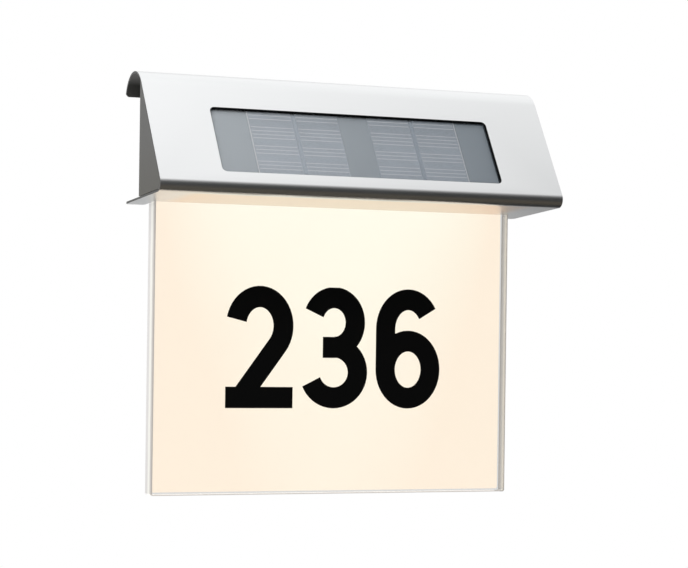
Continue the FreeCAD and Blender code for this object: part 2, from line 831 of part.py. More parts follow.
def make_hood_tape():
    """Adhesive strips that hold the hood's face on the housing, one at each end."""
    pieces = []
    for number, side in enumerate((-1, 1), start=1):
        body = new_body(f"tape_{number}")
        area = face_sketch(body, "area", pane_inward)
        near, far = sorted((80 * side, 98 * side))
        rectangle(area, near, -50, far, -6)
        pad(area, size("fit_gap"))
        pieces.append(body)
    return solid_group("hood_tape", pieces)


# --- acrylic panel and its holder ----------------------------------------------------------


def clamp_screws():
    """Panel screws, in a row across the holder."""
    return [(size("clamp_pitch") * step, size("clamp_height")) for step in (-1, 0, 1)]


def holder_screws():
    """Screws from inside the back cover into the holder's bosses."""
    return [
        (size(where) * side, size("holder_screw_height"))
        for where in ("holder_screw_near", "holder_screw_far")
        for side in (-1, 1)
    ]


def make_acrylic_panel():
    """Thick clear sheet with polished bevels and three holes near its top."""
    body = new_body("acrylic_panel")
    half = size("panel_width") / 2
    area = new_sketch(body, "area", "XZ_Plane", (0, 0, size("panel_front") - size("panel_thick")))
    rectangle(area, -half, size("panel_bottom"), half, size("panel_top"), 1)
    pad(area, size("panel_thick"))
    bores = new_sketch(body, "bores", "XZ_Plane", (0, 0, size("panel_front") - size("panel_thick")))
    for across, up in clamp_screws():
        circle(bores, across, up, size("clamp_bore") / 2)
    pocket(bores, size("panel_thick"), reverse=True)
    front = -size("panel_front").value
    back = front + size("panel_thick").value
    soften(
        "Chamfer",
        body,
        size("panel_bevel"),
        lambda middle, along, length: (abs(middle.y - front) < 0.01 or abs(middle.y - back) < 0.01)
        and abs(along.y) < 0.01
        and not (abs(middle.z - size("clamp_height").value) < 2.5 and abs(middle.x) < 75),
    )
    return body


def make_reflector_film():
    """White film on the back of the panel, below the holder."""
    body = new_body("reflector_film")
    half = size("panel_width") / 2 - size("film_inset")
    back = size("panel_front") - size("panel_thick") - size("film_thick")
    area = new_sketch(body, "area", "XZ_Plane", (0, 0, back))
    rectangle(area, -half, size("panel_bottom") + size("film_inset"), half,
              size("holder_bottom") - 0.4, 1)
    pad(area, size("film_thick"))
    return body


def make_panel_holder():
    """Channel behind the housing: its roof carries the lights, its walls grip the panel."""
    body = new_body("panel_holder")
    wall, gap = size("holder_wall"), size("holder_gap")
    top, bottom = size("holder_top"), size("holder_bottom")
    inner_rear = size("panel_front") - size("panel_thick") - gap
    inner_front = size("panel_front") + gap
    back = size("housing_back")
    profile = new_sketch(body, "section", "YZ_Plane")
    outline(
        profile,
        [
            (-(inner_rear - wall), top),
            (-back, top),
            (-back, top - wall),
            (-(inner_front + wall), top - wall),
            (-(inner_front + wall), bottom + wall),
            (-back, bottom + wall),
            (-back, bottom),
            (-inner_front, bottom),
            (-inner_front, top - wall),
            (-inner_rear, top - wall),
            (-inner_rear, bottom),
            (-(inner_rear - wall), bottom),
        ],
    )
    pad(profile, size("holder_width"), both_ways=True)
    bosses = new_sketch(body, "bosses", "XZ_Plane", (0, 0, inner_front + wall))
    for across, up in holder_screws():
        circle(bosses, across, up, size("holder_boss"))
    pad(bosses, back - inner_front - wall)
    threads = new_sketch(body, "threads", "XZ_Plane", (0, 0, back))
    for across, up in holder_screws():
        circle(threads, across, up, 1.0)
    pocket(threads, back - inner_front)
    bores = new_sketch(body, "bores", "XZ_Plane", (0, 0, inner_rear - wall))
    for across, up in clamp_screws():
        circle(bores, across, up, 1.6)
    pocket(bores, wall, reverse=True)
    pilots = new_sketch(body, "pilots", "XZ_Plane", (0, 0, inner_front))
    for across, up in clamp_screws():
        circle(pilots, across, up, 1.25)
    pocket(pilots, wall, reverse=True)
    # room for the bracket's hook edge while the lamp is lifted off
    notch = new_sketch(body, "bracket_notch", "XZ_Plane", (0, 0, inner_rear - wall))
    half = size("tongue_width") / 2 + 1.5
    rectangle(notch, -half, top - size("notch_deep"), half, top + 1)
    pocket(notch, wall, reverse=True)
    lead = new_sketch(body, "lead_slot", "XZ_Plane", (0, 0, inner_front))
    rectangle(lead, *LEAD_SLOT)
    pocket(lead, wall, reverse=True)
    return body


def make_panel_screws():
    rear = size("panel_front") - size("panel_thick") - size("holder_gap") - size("holder_wall")
    return screw_group("panel_screws", clamp_screws(), rear, 2.75, 1.8, 1.25, 14.4)


def make_holder_screws():
    """Driven from inside the housing, before the main board goes in."""
    seat = size("housing_back") + size("cover_thick")
    return screw_group("holder_screws", holder_screws(), seat, 2.1, 1.4, 1.0, 5.4, front=True)


def make_led_board():
    """Strip of board under the holder's roof."""
    body = new_body("led_board")
    half = size("led_board_width") / 2
    middle = size("panel_front") - size("panel_thick") / 2
    area = new_sketch(body, "area", "XY_Plane", (0, 0, size("holder_top") - size("holder_wall") - 1.6))
    rectangle(area, -half, -(middle + size("led_board_deep") / 2), half,
              -(middle - size("led_board_deep") / 2), 0.8)
    pad(area, 1.6)
    return body


def make_leds():
    """Surface lights that shine down into the panel's top edge."""
    pieces = []
    count = int(size("led_count").value)
    under = size("holder_top") - size("holder_wall") - 1.6
    middle = size("panel_front") - size("panel_thick") / 2
    for number in range(count):
        across = size("led_pitch") * (number - (count - 1) / 2)
        pieces.append(
            block(f"led_{number + 1}", across - 1.75, middle - 1.4, under - 1.4, 3.5, 2.8, 1.4)
        )
    return solid_group("leds", pieces)


# --- the lamp's hook ----------------------------------------------------------------------


def hanger_screw_height():
    """Height of the screws in the hook's leg."""
    return size("trough_lip") + size("hanger_rise") - size("hanger_leg") / 2 - 0.6


def make_hanger_plate():
    """Bent strip on the back cover that drops behind the wall bracket's hook edge."""
    body = new_body("hanger_plate")
    thick = size("hanger_thick")
    back = size("housing_back")
    under = size("trough_lip") + size("hanger_rise")
    hook_rear = size("bracket_thick") + (size("trough_width") - thick) / 2
    bend = thick + 0.5
    profile = new_sketch(body, "section", "YZ_Plane")
    outline(
        profile,
        [
            (-hook_rear, under - size("hanger_reach")),
            (-(hook_rear + thick), under - size("hanger_reach")),
            (-(hook_rear + thick), under - 0.5, 0.5, -(hook_rear + bend), under - 0.5, 1),
            (-(hook_rear + bend), under),
            (-(back - bend), under, 0.5, -(back - bend), under - 0.5, 1),
            (-(back - thick), under - 0.5),
            (-(back - thick), under - size("hanger_leg")),
            (-back, under - size("hanger_leg")),
            (-back, under - 0.5, bend, -(back - bend), under - 0.5, -1),
            (-(back - bend), under + thick),
            (-(hook_rear + bend), under + thick, bend, -(hook_rear + bend), under - 0.5, -1),
            (-hook_rear, under - 0.5),
        ],
    )
    pad(profile, size("hanger_width"), both_ways=True)
    holes = new_sketch(body, "holes", "XZ_Plane", (0, 0, back - thick))
    for side in (-1, 1):
        circle(holes, size("hanger_pitch") / 2 * side, hanger_screw_height(), 1.6)
    pocket(holes, thick, reverse=True)
    return body


def make_hanger_screws():
    places = [(size("hanger_pitch") / 2 * side, hanger_screw_height()) for side in (-1, 1)]
    seat = size("housing_back") - size("hanger_thick")
    return screw_group("hanger_screws", places, seat, 2.75, 1.8, 1.25, 4.4)


# --- circuit, switch and batteries ---------------------------------------------------------


def circuit_screws():
    """Two screws hold the main board on the back cover's posts."""
    left = size("circuit_left") + 4
    right = size("circuit_left") + size("circuit_width") - 4
    return [(left, size("circuit_low") + 13), (right, size("circuit_low") + 6)]


def make_circuit_board():
    body = new_body("circuit_board")
    left, low = size("circuit_left"), size("circuit_low")
    area = new_sketch(body, "area", "XZ_Plane", (0, 0, size("circuit_depth")))
    rectangle(area, left, low, left + size("circuit_width"), low + size("circuit_height"), 1)
    pad(area, size("circuit_thick"))
    holes = new_sketch(body, "holes", "XZ_Plane", (0, 0, size("circuit_depth")))
    for across, up in circuit_screws():
        circle(holes, across, up, 1.2)
    pocket(holes, size("circuit_thick"), reverse=True)
    return body


def board_front():
    return size("circuit_depth") + size("circuit_thick")


def make_board_screws():
    """Driven towards the wall into the cover's posts."""
    return screw_group("board_screws", circuit_screws(), board_front(), 1.9, 1.2, 0.85, 3.8,
                       front=True)


def make_driver_chip():
    """Eight leg chip: a flat block with its row of legs on each side."""
    left, low = size("circuit_left") + 20, size("circuit_low") + 11
    pieces = [block("chip_block", left, board_front() + 0.15, low, 4.9, 1.4, 3.9)]
    for number in range(4):
        leg_left = left + 0.34 + 1.27 * number
        for side, leg_low in (("low", low - 1.0), ("high", low + 3.9)):
            pieces.append(block(f"chip_leg_{side}_{number}", leg_left, board_front(), leg_low,
                                0.42, 0.9, 1.0))
    chip = doc.addObject("Part::MultiFuse", "driver_chip")
    chip.Label = "driver_chip"
    chip.Shapes = pieces
    doc.recompute()
    return chip


def make_inductor():
    """Drum core: two round cheeks with the winding between them."""
    body = new_body("inductor")
    middle, up = size("circuit_left") + 11, size("circuit_low") + 6
    near = board_front()
    for name, start, length, radius in (
        ("low_cheek", 0, 1.0, 3.6), ("winding", 1.0, 2.4, 3.0), ("high_cheek", 3.4, 1.0, 3.6),
    ):
        disc = new_sketch(body, name, "XZ_Plane", (0, 0, near + start))
        circle(disc, middle, up, radius)
        pad(disc, length)
    return body


def make_capacitor():
    """Radial can that stands on the board, with its rubber end's groove."""
    body = new_body("capacitor")
    middle, up = size("circuit_left") + 24, size("circuit_low") + 5
    near = board_front()
    for name, start, length, radius in (
        ("foot", 0, 1.2, 2.5), ("groove", 1.2, 0.5, 2.2), ("can", 1.7, 5.3, 2.5),
    ):
        disc = new_sketch(body, name, "XZ_Plane", (0, 0, near + start))
        circle(disc, middle, up, radius)
        pad(disc, length)
    return body


def make_switch_body():
    """Slide switch on the board's rear face. A slot in its rear guides the knob."""
    body = new_body("switch_body")
    rear = size("circuit_depth") - size("switch_length")
    middle, up = size("switch_across"), size("switch_up")
    wide, tall = size("switch_width") / 2, size("switch_height") / 2
    area = new_sketch(body, "area", "XZ_Plane", (0, 0, rear))
    rectangle(area, middle - wide, up - tall, middle + wide, up + tall, 0.4)
    pad(area, size("switch_length"))
    slot = new_sketch(body, "slot", "XZ_Plane", (0, 0, rear))
    slot_wide = (size("knob_width") + size("knob_travel")) / 2 + 0.3
    slot_tall = size("knob_height") / 2 + 0.3
    rectangle(slot, middle - slot_wide, up - slot_tall, middle + slot_wide, up + slot_tall)
    pocket(slot, 1.6, reverse=True)
    return body


def make_switch_knob():
    """Slide knob at its off end, with three grip ribs."""
    body = new_body("switch_knob")
    rear = size("circuit_depth") - size("switch_length")
    middle = size("switch_across") - size("knob_travel") / 2
    up = size("switch_up")
    wide, tall = size("knob_width") / 2, size("knob_height") / 2
    tip = rear - size("knob_rise")
    stem = new_sketch(body, "stem", "XZ_Plane", (0, 0, tip))
    rectangle(stem, middle - wide, up - tall, middle + wide, up + tall, 0.3)
    pad(stem, size("knob_rise") + 1.3)
    grooves = new_sketch(body, "grooves", "XZ_Plane", (0, 0, tip))
    for step in (-1, 1):
        centre = middle + 0.62 * step
        rectangle(grooves, centre - 0.25, up - tall - 1, centre + 0.25, up + tall + 1)
    pocket(grooves, 0.5, reverse=True)
    return body


def make_batteries():
    """Two cells end to end, each a can with a groove and a raised positive button."""
    pieces = []
    radius, length = size("battery_radius"), size("battery_length")
    for number, left in enumerate((-(length + 0.6), as_size(0.6)), start=1):
        body = new_body(f"battery_{number}")
        for name, start, run, reach in (
            ("can", as_size(0), length - 1.4, radius),
            ("shoulder", length - 1.4, as_size(0.4), radius - 1.2),
            ("button", length - 1.0, as_size(1.0), as_size(2.6)),
        ):
            disc = new_sketch(body, name, "YZ_Plane", (0, 0, left + start))
            circle(disc, -size("battery_depth"), size("battery_up"), reach)
            pad(disc, run)
        pieces.append(body)
    return solid_group("batteries", pieces)


def make_battery_contacts():
    """Folded spring leaves at both ends and a link leaf between the two cells."""
    pieces = []
    depth, up = size("battery_depth"), size("battery_up")
    reach = size("battery_length") + 0.6
    for name, left, thick, lean in (
        ("contact_left", -reach - 2.4, 0.4, 1), ("contact_link", as_size(-0.2), 0.4, 0),
        ("contact_right", reach + 2.0, 0.4, -1),
    ):
        body = new_body(name)
        leaf = new_sketch(body, "leaf", "YZ_Plane", (0, 0, left))
        rectangle(leaf, -(depth + 5), up - 5.5, -(depth - 5), up + 5.5, 1)
        pad(leaf, thick)
        if lean:
            tongue = new_sketch(body, "tongue", "XZ_Plane", (0, 0, depth - 2))
            base = left + thick if lean > 0 else left
            outline(
                tongue,
                [
                    (base, up - 4), (base + 1.7 * lean, up), (base + 1.7 * lean, up + 1),
                    (base + 1.2 * lean, up + 1), (base, up - 2.6),
                ][:: lean],
            )
            pad(tongue, 4)
        pieces.append(body)
    return solid_group("battery_contacts", pieces)


def make_wire_pair(name, routes, radius=0.6):
    """Round wires, each along straight runs joined by tangent arcs."""
    solids = []
    for points in routes:
        points = [Vector(across, -depth, up) for across, depth, up in points]
        edges, last = [], points[0]
        for before, corner, after in zip(points, points[1:], points[2:]):
            inward = (before - corner).normalize()
            outward = (after - corner).normalize()
            half_turn = (math.pi - inward.getAngle(outward)) / 2
            cut = min((before - corner).Length, (after - corner).Length) * 0.45
            bend = cut / math.tan(half_turn)
            middle = corner + (inward + outward).normalize() * (bend / math.cos(half_turn) - bend)
            start, finish = corner + inward * cut, corner + outward * cut
            edges.append(Part.LineSegment(last, start).toShape())
            edges.append(Part.Arc(start, middle, finish).toShape())
            last = finish
        edges.append(Part.LineSegment(last, points[-1]).toShape())
        path = Part.Wire(edges)
        ring = Part.makeCircle(radius, points[0], points[1] - points[0])
        solids.append(path.makePipeShell([Part.Wire([ring])], True, False))
    item = doc.addObject("Part::Feature", name)
    item.Label = name
    item.Shape = Part.makeCompound(solids)
    return item


def make_wires():
    """The three pairs of leads inside the housing: from the module, the cells and the lights."""
    rear, front = size("circuit_depth").value, board_front().value
    clear = 0.1
    contact = size("battery_length").value + 0.6 + 2.4
    depth, up = size("battery_depth").value, size("battery_up").value
    lights_up = (size("holder_top") - size("holder_wall")).value - 2.3
    lights_across = size("led_board_width").value / 2 - 3.3
    lights_depth = (size("panel_front") - size("panel_thick") / 2).value + 2.2
    solar = [
        [(68.2 + shift, 41.2, -16.45), (68.2 + shift, 38.2, -18.4),
         (68.2 + shift, front + clear, -18.4)]
        for shift in (0, 1.6)
    ]
    battery = [
        [(contact + clear, depth, up + 3.5), (59.9, depth, up + 3.5),
         (59.9, front + clear, up + 3.5)],
        [(0.2 - contact, 33.0, up + 5.5 + clear), (0.2 - contact, 33.0, up + 13.1),
         (4.0, 31.6, up + 12.4), (61.4, 34.0, up + 12.9), (61.4, front + clear, up + 12.9)],
    ]
    light = [
        [(lights_across - shift, lights_depth, lights_up),
         (lights_across - shift, rear - clear, lights_up)]
        for shift in (0, 1.5)
    ]
    make_wire_pair("solar_leads", solar)
    make_wire_pair("battery_leads", battery)
    make_wire_pair("led_leads", light)
    return ["solar_leads", "battery_leads", "led_leads"]


# --- build, test and write -----------------------------------------------------------------

MAKERS = [
    make_wall_bracket,
    make_hood,
    make_hood_tape,
    make_housing,
    make_back_cover,
    make_back_cover_seal,
    make_cover_screws,
    make_solar_seal,
    make_solar_cells,
    make_acrylic_panel,
    make_reflector_film,
    make_panel_holder,
    make_panel_screws,
    make_holder_screws,
    make_led_board,
    make_leds,
    make_hanger_plate,
    make_hanger_screws,
    make_circuit_board,
    make_board_screws,
    make_driver_chip,
    make_inductor,
    make_capacitor,
    make_switch_body,
    make_switch_knob,
    make_batteries,
    make_battery_contacts,
]

sub_parts = [maker().Label for maker in MAKERS]
sub_parts.append(module_plate("solar_pane", wafer_inward, size("pane_thick")).Label)
sub_parts.append(module_plate("solar_board", board_under, size("board_thick")).Label)
sub_parts += make_wires()

doc.recompute()
for item in doc.Objects:
    if "Invalid" in item.State or "Error" in item.State:
        raise RuntimeError(f"{item.Label} failed: {item.State}")

os.makedirs("parts", exist_ok=True)
for name in sub_parts:
    shape = doc.getObjectsByLabel(name)[0].Shape
    if shape.isNull() or not shape.isValid() or not shape.Solids:
        raise RuntimeError(f"{name} has no valid solid")
    shape.exportStep(f"parts/{name}.step")
    box = shape.BoundBox
    print(
        f"{name}: {len(shape.Solids)} solid, {shape.Volume:.1f} mm3, "
        f"x {box.XMin:.1f} {box.XMax:.1f}  y {box.YMin:.1f} {box.YMax:.1f}  "
        f"z {box.ZMin:.1f} {box.ZMax:.1f}"
    )
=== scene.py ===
"""Solar house number light: satin hood over an edge lit panel, hung on a wall bracket."""

import json
import math

import bmesh
import bpy
from bpy.props import (
    FloatProperty,
    FloatVectorProperty,
    PointerProperty,
    StringProperty,
)
from mathutils import Matrix, Vector, geometry

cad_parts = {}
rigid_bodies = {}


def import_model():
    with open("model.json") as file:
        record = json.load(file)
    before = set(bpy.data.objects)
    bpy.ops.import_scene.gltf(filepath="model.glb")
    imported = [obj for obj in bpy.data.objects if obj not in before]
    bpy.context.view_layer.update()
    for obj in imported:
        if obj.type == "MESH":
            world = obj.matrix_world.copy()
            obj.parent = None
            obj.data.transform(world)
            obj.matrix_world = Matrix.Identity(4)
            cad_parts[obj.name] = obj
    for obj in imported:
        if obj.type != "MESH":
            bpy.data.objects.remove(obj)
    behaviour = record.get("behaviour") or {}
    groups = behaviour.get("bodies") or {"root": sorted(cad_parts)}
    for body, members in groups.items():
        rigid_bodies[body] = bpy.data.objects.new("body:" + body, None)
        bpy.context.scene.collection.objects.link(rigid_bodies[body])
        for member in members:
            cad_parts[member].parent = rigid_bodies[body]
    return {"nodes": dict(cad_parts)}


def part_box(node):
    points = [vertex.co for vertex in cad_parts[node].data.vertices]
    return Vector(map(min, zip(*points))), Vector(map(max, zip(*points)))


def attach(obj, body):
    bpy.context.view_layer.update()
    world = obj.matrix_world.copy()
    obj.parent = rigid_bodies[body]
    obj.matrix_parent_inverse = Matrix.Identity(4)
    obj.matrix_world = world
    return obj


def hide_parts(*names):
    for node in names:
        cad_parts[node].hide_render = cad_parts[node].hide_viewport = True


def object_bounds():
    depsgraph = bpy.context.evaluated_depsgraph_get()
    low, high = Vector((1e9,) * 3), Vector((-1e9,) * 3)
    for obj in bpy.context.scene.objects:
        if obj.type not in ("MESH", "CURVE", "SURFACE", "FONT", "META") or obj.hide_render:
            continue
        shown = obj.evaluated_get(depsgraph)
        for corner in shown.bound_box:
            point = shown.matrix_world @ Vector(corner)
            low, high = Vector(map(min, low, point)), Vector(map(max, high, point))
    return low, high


for item in list(bpy.data.objects):
    bpy.data.objects.remove(item)
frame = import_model()
cad_low, cad_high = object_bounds()

bl_info = {
    "name": "House Number Light",
    "version": (1, 0, 0),
    "blender": (4, 5, 0),
    "location": "3D View > Sidebar > Number Light",
    "description": "Builds the visible pieces of a solar house number light around its solids",
    "category": "Object",
}

# the hood's section: where its flat face starts under the roll, the way down the face, the
# middle of the roll and how far the inside of the roll is from it
FACE_SLOPE = math.radians(57.0)
FACE_START = Vector((0, -0.02482, 0.01585))
DOWN_FACE = Vector((0, -math.cos(FACE_SLOPE), -math.sin(FACE_SLOPE)))
OUT_OF_FACE = Vector((0, -math.sin(FACE_SLOPE), math.cos(FACE_SLOPE)))
ROLL_CENTRE = Vector((0, -0.0135, 0.0085))
ROLL_INSIDE = 0.0125
# the window in the face, down from the face's start
WINDOW_TOP, WINDOW_HEIGHT, WINDOW_HALF = 0.0125, 0.0375, 0.0715


# --- what a user would change ---------------------------------------------------------------


def length_setting(name, description, value, low, high):
    return FloatProperty(
        name=name, description=description, default=value, min=low, max=high, unit="LENGTH"
    )


def colour_setting(name, description, value):
    return FloatVectorProperty(
        name=name, description=description, default=value, min=0.0, max=1.0, subtype="COLOR"
    )


class NumberLightPanel(bpy.types.PropertyGroup):
    """The lit panel and the number on it."""

    number: StringProperty(
        name="Number", description="Digits on the panel", default="236", maxlen=4
    )
    digit_height: length_setting("Digit height", "Height of a digit", 0.0585, 0.01, 0.09)
    digit_spread: length_setting("Number width", "Left to right over all digits", 0.112, 0.02, 0.17)
    digit_stroke: length_setting("Digit stroke", "Width of a stroke", 0.0102, 0.002, 0.02)
    digit_middle: length_setting(
        "Number height", "Middle of the number over the screw line", -0.1064, -0.17, -0.04
    )
    digit_colour: colour_setting("Digit colour", "Colour of the digits", (0.003, 0.003, 0.003))
    glow_middle: colour_setting(
        "Glow under the lights", "Colour near the panel's top", (0.991, 0.965, 0.838)
    )
    glow_edge: colour_setting(
        "Glow at the edges", "Colour at the sides and the bottom", (0.982, 0.855, 0.716)
    )
    glow_strength: FloatProperty(
        name="Glow strength", description="How bright the lit film is", default=0.81, min=0.0,
        max=4.0,
    )


class NumberLightMetal(bpy.types.PropertyGroup):
    """The sheet metal parts."""

    steel_colour: colour_setting("Steel", "Colour of the satin sheet", (0.80, 0.81, 0.815))
    steel_roughness: FloatProperty(
        name="Steel roughness", description="0 is a mirror", default=0.30, min=0.05, max=1.0,
        subtype="FACTOR",
    )
    edge_round: length_setting(
        "Edge round", "Rounding of the sheet's cut edges", 0.00012, 0.0, 0.0005
    )


class NumberLightPlastic(bpy.types.PropertyGroup):
    """The moulded parts."""

    housing_colour: colour_setting(
        "Housing", "Colour of the housing and the back cover", (0.165, 0.163, 0.155)
    )
    holder_colour: colour_setting("Holder", "Colour of the panel holder", (0.30, 0.30, 0.29))


class NumberLightModule(bpy.types.PropertyGroup):
    """The solar module."""

    finger_pitch: length_setting("Finger pitch", "Line to line", 0.00215, 0.001, 0.0022)
    finger_width: length_setting("Finger width", "Width of one line", 0.00042, 0.0001, 0.001)
    cell_colour: colour_setting("Cell", "Colour of the silicon", (0.61, 0.66, 0.73))


SETTINGS = {
    "number_light_panel": NumberLightPanel,
    "number_light_metal": NumberLightMetal,
    "number_light_plastic": NumberLightPlastic,
    "number_light_module": NumberLightModule,
}


# --- node trees -----------------------------------------------------------------------------


def add_node(tree, kind, inputs=None, **settings):
    """A node with its settings made, and its inputs set to values or linked to sockets."""
    made = tree.nodes.new(kind)
    for name, value in settings.items():
        setattr(made, name, value)
    for name, value in (inputs or {}).items():
        if isinstance(value, bpy.types.NodeSocket):
            tree.links.new(value, made.inputs[name])
        else:
            made.inputs[name].default_value = value
    return made


SOCKETS = {1: "NodeSocketFloat", 3: "NodeSocketVector", 4: "NodeSocketColor"}


def new_group(name, inputs):
    """A shader group that takes a place and the named inputs, and gives a colour, a roughness
    and a height. Returns it, its input sockets and its output sockets."""
    group = bpy.data.node_groups.new(name, "ShaderNodeTree")
    group.interface.new_socket("Vector", in_out="INPUT", socket_type=SOCKETS[3])
    for label, value in inputs.items():
        kind = SOCKETS[len(value) if isinstance(value, tuple) else 1]
        socket = group.interface.new_socket(label, in_out="INPUT", socket_type=kind)
        socket.default_value = value
    for label, size in (("Colour", 4), ("Roughness", 1), ("Height", 1)):
        group.interface.new_socket(label, in_out="OUTPUT", socket_type=SOCKETS[size])
    given, result = group.nodes.new("NodeGroupInput"), group.nodes.new("NodeGroupOutput")
    return group, given.outputs, result.inputs


def put_out(group, result, colour, roughness, height):
    """Link a group's three results."""
    for label, value in (("Colour", colour), ("Roughness", roughness), ("Height", height)):
        group.links.new(value, result[label])


def compute(tree, operation, *values, **settings):
    """A sum on sockets and numbers."""
    inputs = dict(enumerate(values))
    return add_node(tree, "ShaderNodeMath", inputs, operation=operation, **settings).outputs[0]


def spread(tree, value, first, last, to=(0.0, 1.0), **settings):
    """A value carried from one range to another, and held at its ends."""
    inputs = {"Value": value, "From Min": first, "From Max": last, "To Min": to[0], "To Max": to[1]}
    return add_node(tree, "ShaderNodeMapRange", inputs, **settings).outputs["Result"]


def noise(tree, place, scale, detail=2.0):
    """Soft noise from 0 to 1."""
    inputs = {"Vector": place, "Scale": scale, "Detail": detail}
    return add_node(tree, "ShaderNodeTexNoise", inputs).outputs["Fac"]


def split(tree, place):
    """The sockets X, Y and Z of a place."""
    return add_node(tree, "ShaderNodeSeparateXYZ", {"Vector": place}).outputs


def distance_along(tree, place, direction):
    """How far a place lies along a direction."""
    inputs = {0: place, 1: direction}
    return add_node(
        tree, "ShaderNodeVectorMath", inputs, operation="DOT_PRODUCT"
    ).outputs["Value"]


def graded(tree, share, stops, interpolation="LINEAR"):
    """A colour by a share from 0 to 1. The stops are positions with colours, in order."""
    made = add_node(tree, "ShaderNodeValToRGB", {"Fac": share})
    made.color_ramp.interpolation = interpolation
    elements = made.color_ramp.elements
    for element, (position, colour) in zip(elements, (stops[0], stops[-1])):
        element.position, element.color = position, rgba(colour)
    for position, colour in stops[1:-1]:
        elements.new(position).color = rgba(colour)
    return made.outputs["Color"]


def brighter(tree, colour, value):
    """A colour with its brightness multiplied."""
    inputs = {"Color": colour, "Value": value}
    return add_node(tree, "ShaderNodeHueSaturation", inputs).outputs["Color"]


def blended(tree, share, first, second, blend="MIX"):
    """Two colours blended by a share."""
    inputs = {0: share, 6: first, 7: second}
    return add_node(
        tree, "ShaderNodeMix", inputs, data_type="RGBA", blend_type=blend
    ).outputs[2]


def tint(material, share, colour, blend="MULTIPLY"):
    """Blend a colour into the one that the material's shader has, by a share."""
    tree = material.node_tree
    socket = tree.nodes["Principled BSDF"].inputs["Base Color"]
    tree.links.new(
        blended(tree, share, socket.links[0].from_socket, rgba(colour), blend), socket
    )


def rgba(colour):
    return (*tuple(colour)[:3], 1.0)


def satin_grain_group():
    """Fine lines along one direction, with slow uneven patches, as on a rolled satin sheet."""
    group, given, result = new_group(
        "satin_grain",
        {"Line scale": (60.0, 9000.0, 9000.0), "Patch scale": 22.0,
         "Colour": (0.8, 0.8, 0.8, 1.0), "Roughness": 0.35, "Spread": 0.06},
    )
    stretched = add_node(
        group, "ShaderNodeVectorMath", {0: given["Vector"], 1: given["Line scale"]},
        operation="MULTIPLY",
    )
    lines = add_node(
        group, "ShaderNodeTexNoise",
        {"Vector": stretched.outputs["Vector"], "Scale": 1.0, "Detail": 4.0, "Roughness": 0.6},
    ).outputs["Fac"]
    patches = noise(group, given["Vector"], given["Patch scale"], 3.0)
    shifts = [spread(group, fleck, 0.0, 1.0, (-0.5, 0.5)) for fleck in (patches, lines)]
    both = compute(group, "ADD", *shifts)
    rough = compute(group, "MULTIPLY_ADD", both, given["Spread"], given["Roughness"])
    tone_share = 0.05
    value = compute(group, "MULTIPLY_ADD", both, tone_share, 1.0)
    put_out(group, result, brighter(group, given["Colour"], value), rough, lines)
    return group


def moulded_skin_group():
    """Fine spark texture of a mould, with a slight uneven tone."""
    group, given, result = new_group(
        "moulded_skin",
        {"Texture scale": 2600.0, "Colour": (0.3, 0.3, 0.3, 1.0), "Roughness": 0.5,
         "Tone": 0.06},
    )
    grain = noise(group, given["Vector"], given["Texture scale"])
    slow = noise(group, given["Vector"], 35.0, 4.0)
    shift = compute(group, "SUBTRACT", slow, 0.5)
    value = compute(group, "MULTIPLY_ADD", shift, given["Tone"], 1.0)
    duller = 0.12
    rough = compute(group, "MULTIPLY_ADD", grain, duller, given["Roughness"])
    put_out(group, result, brighter(group, given["Colour"], value), rough, grain)
    return group


GROUP_MAKERS = {"satin_grain": satin_grain_group, "moulded_skin": moulded_skin_group}


def effect(tree, name, inputs):
    """Place a shared effect in a material, made the first time it is asked for."""
    group = bpy.data.node_groups.get(name) or GROUP_MAKERS[name]()
    return add_node(tree, "ShaderNodeGroup", inputs, node_tree=group)


def new_material(name, **values):
    """A material with its shader's plain values set. Returns it, its tree, shader and
    the object's own coordinates."""
    material = bpy.data.materials.new(name)
    material.use_nodes = True
    tree = material.node_tree
    shader = tree.nodes["Principled BSDF"]
    for label, value in values.items():
        shader.inputs[label.replace("_", " ")].default_value = value
    place = add_node(tree, "ShaderNodeTexCoord").outputs["Object"]
    return material, tree, shader, place


def raise_bump(tree, shader, height, strength, distance):
    """Feed a height into the shader's normal."""
    bump = add_node(
        tree, "ShaderNodeBump", {"Height": height, "Strength": strength, "Distance": distance}
    )
    tree.links.new(bump.outputs["Normal"], shader.inputs["Normal"])


def coat(material, tree, shader, name, inputs, bump, relief):
    """Feed the shader's colour, roughness and normal from a shared effect."""
    placed = effect(tree, name, inputs)
    tree.links.new(placed.outputs["Colour"], shader.inputs["Base Color"])
    tree.links.new(placed.outputs["Roughness"], shader.inputs["Roughness"])
    raise_bump(tree, shader, placed.outputs["Height"], bump, relief)
    return material


def satin_steel(name, colour, roughness, along="x", bump=0.12):
    """Satin sheet steel, its rolling lines along one axis."""
    material, tree, shader, place = new_material(name, Metallic=1.0)
    fine, coarse = 9000.0, 60.0
    scale = tuple(coarse if letter == along else fine for letter in "xyz")
    inputs = {"Vector": place, "Line scale": scale, "Colour": rgba(colour), "Roughness": roughness}
    return coat(material, tree, shader, "satin_grain", inputs, bump, 0.00002)


def moulded(name, colour, roughness=0.5, scale=2600.0, bump=0.25, **values):
    """Moulded plastic, foam or rubber with a fine skin."""
    material, tree, shader, place = new_material(name, **values)
    inputs = {"Vector": place, "Texture scale": scale, "Colour": rgba(colour),
              "Roughness": roughness}
    return coat(material, tree, shader, "moulded_skin", inputs, bump, 0.00003)


# --- pieces ---------------------------------------------------------------------------------


def finish_piece(piece, body, slot, *nodes):
    """Ride on a body and stand for the given nodes. The slot is not used."""
    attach(piece, body)
    if nodes:
        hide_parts(*nodes)
    return piece


def new_object(name, data):
    """An object at the origin, in the scene."""
    made = bpy.data.objects.new(name, data)
    bpy.context.collection.objects.link(made)
    return made


def new_piece(name, mesh, *materials):
    """An object for a finished mesh."""
    for material in materials:
        mesh.materials.append(material)
    return new_object(name, mesh)


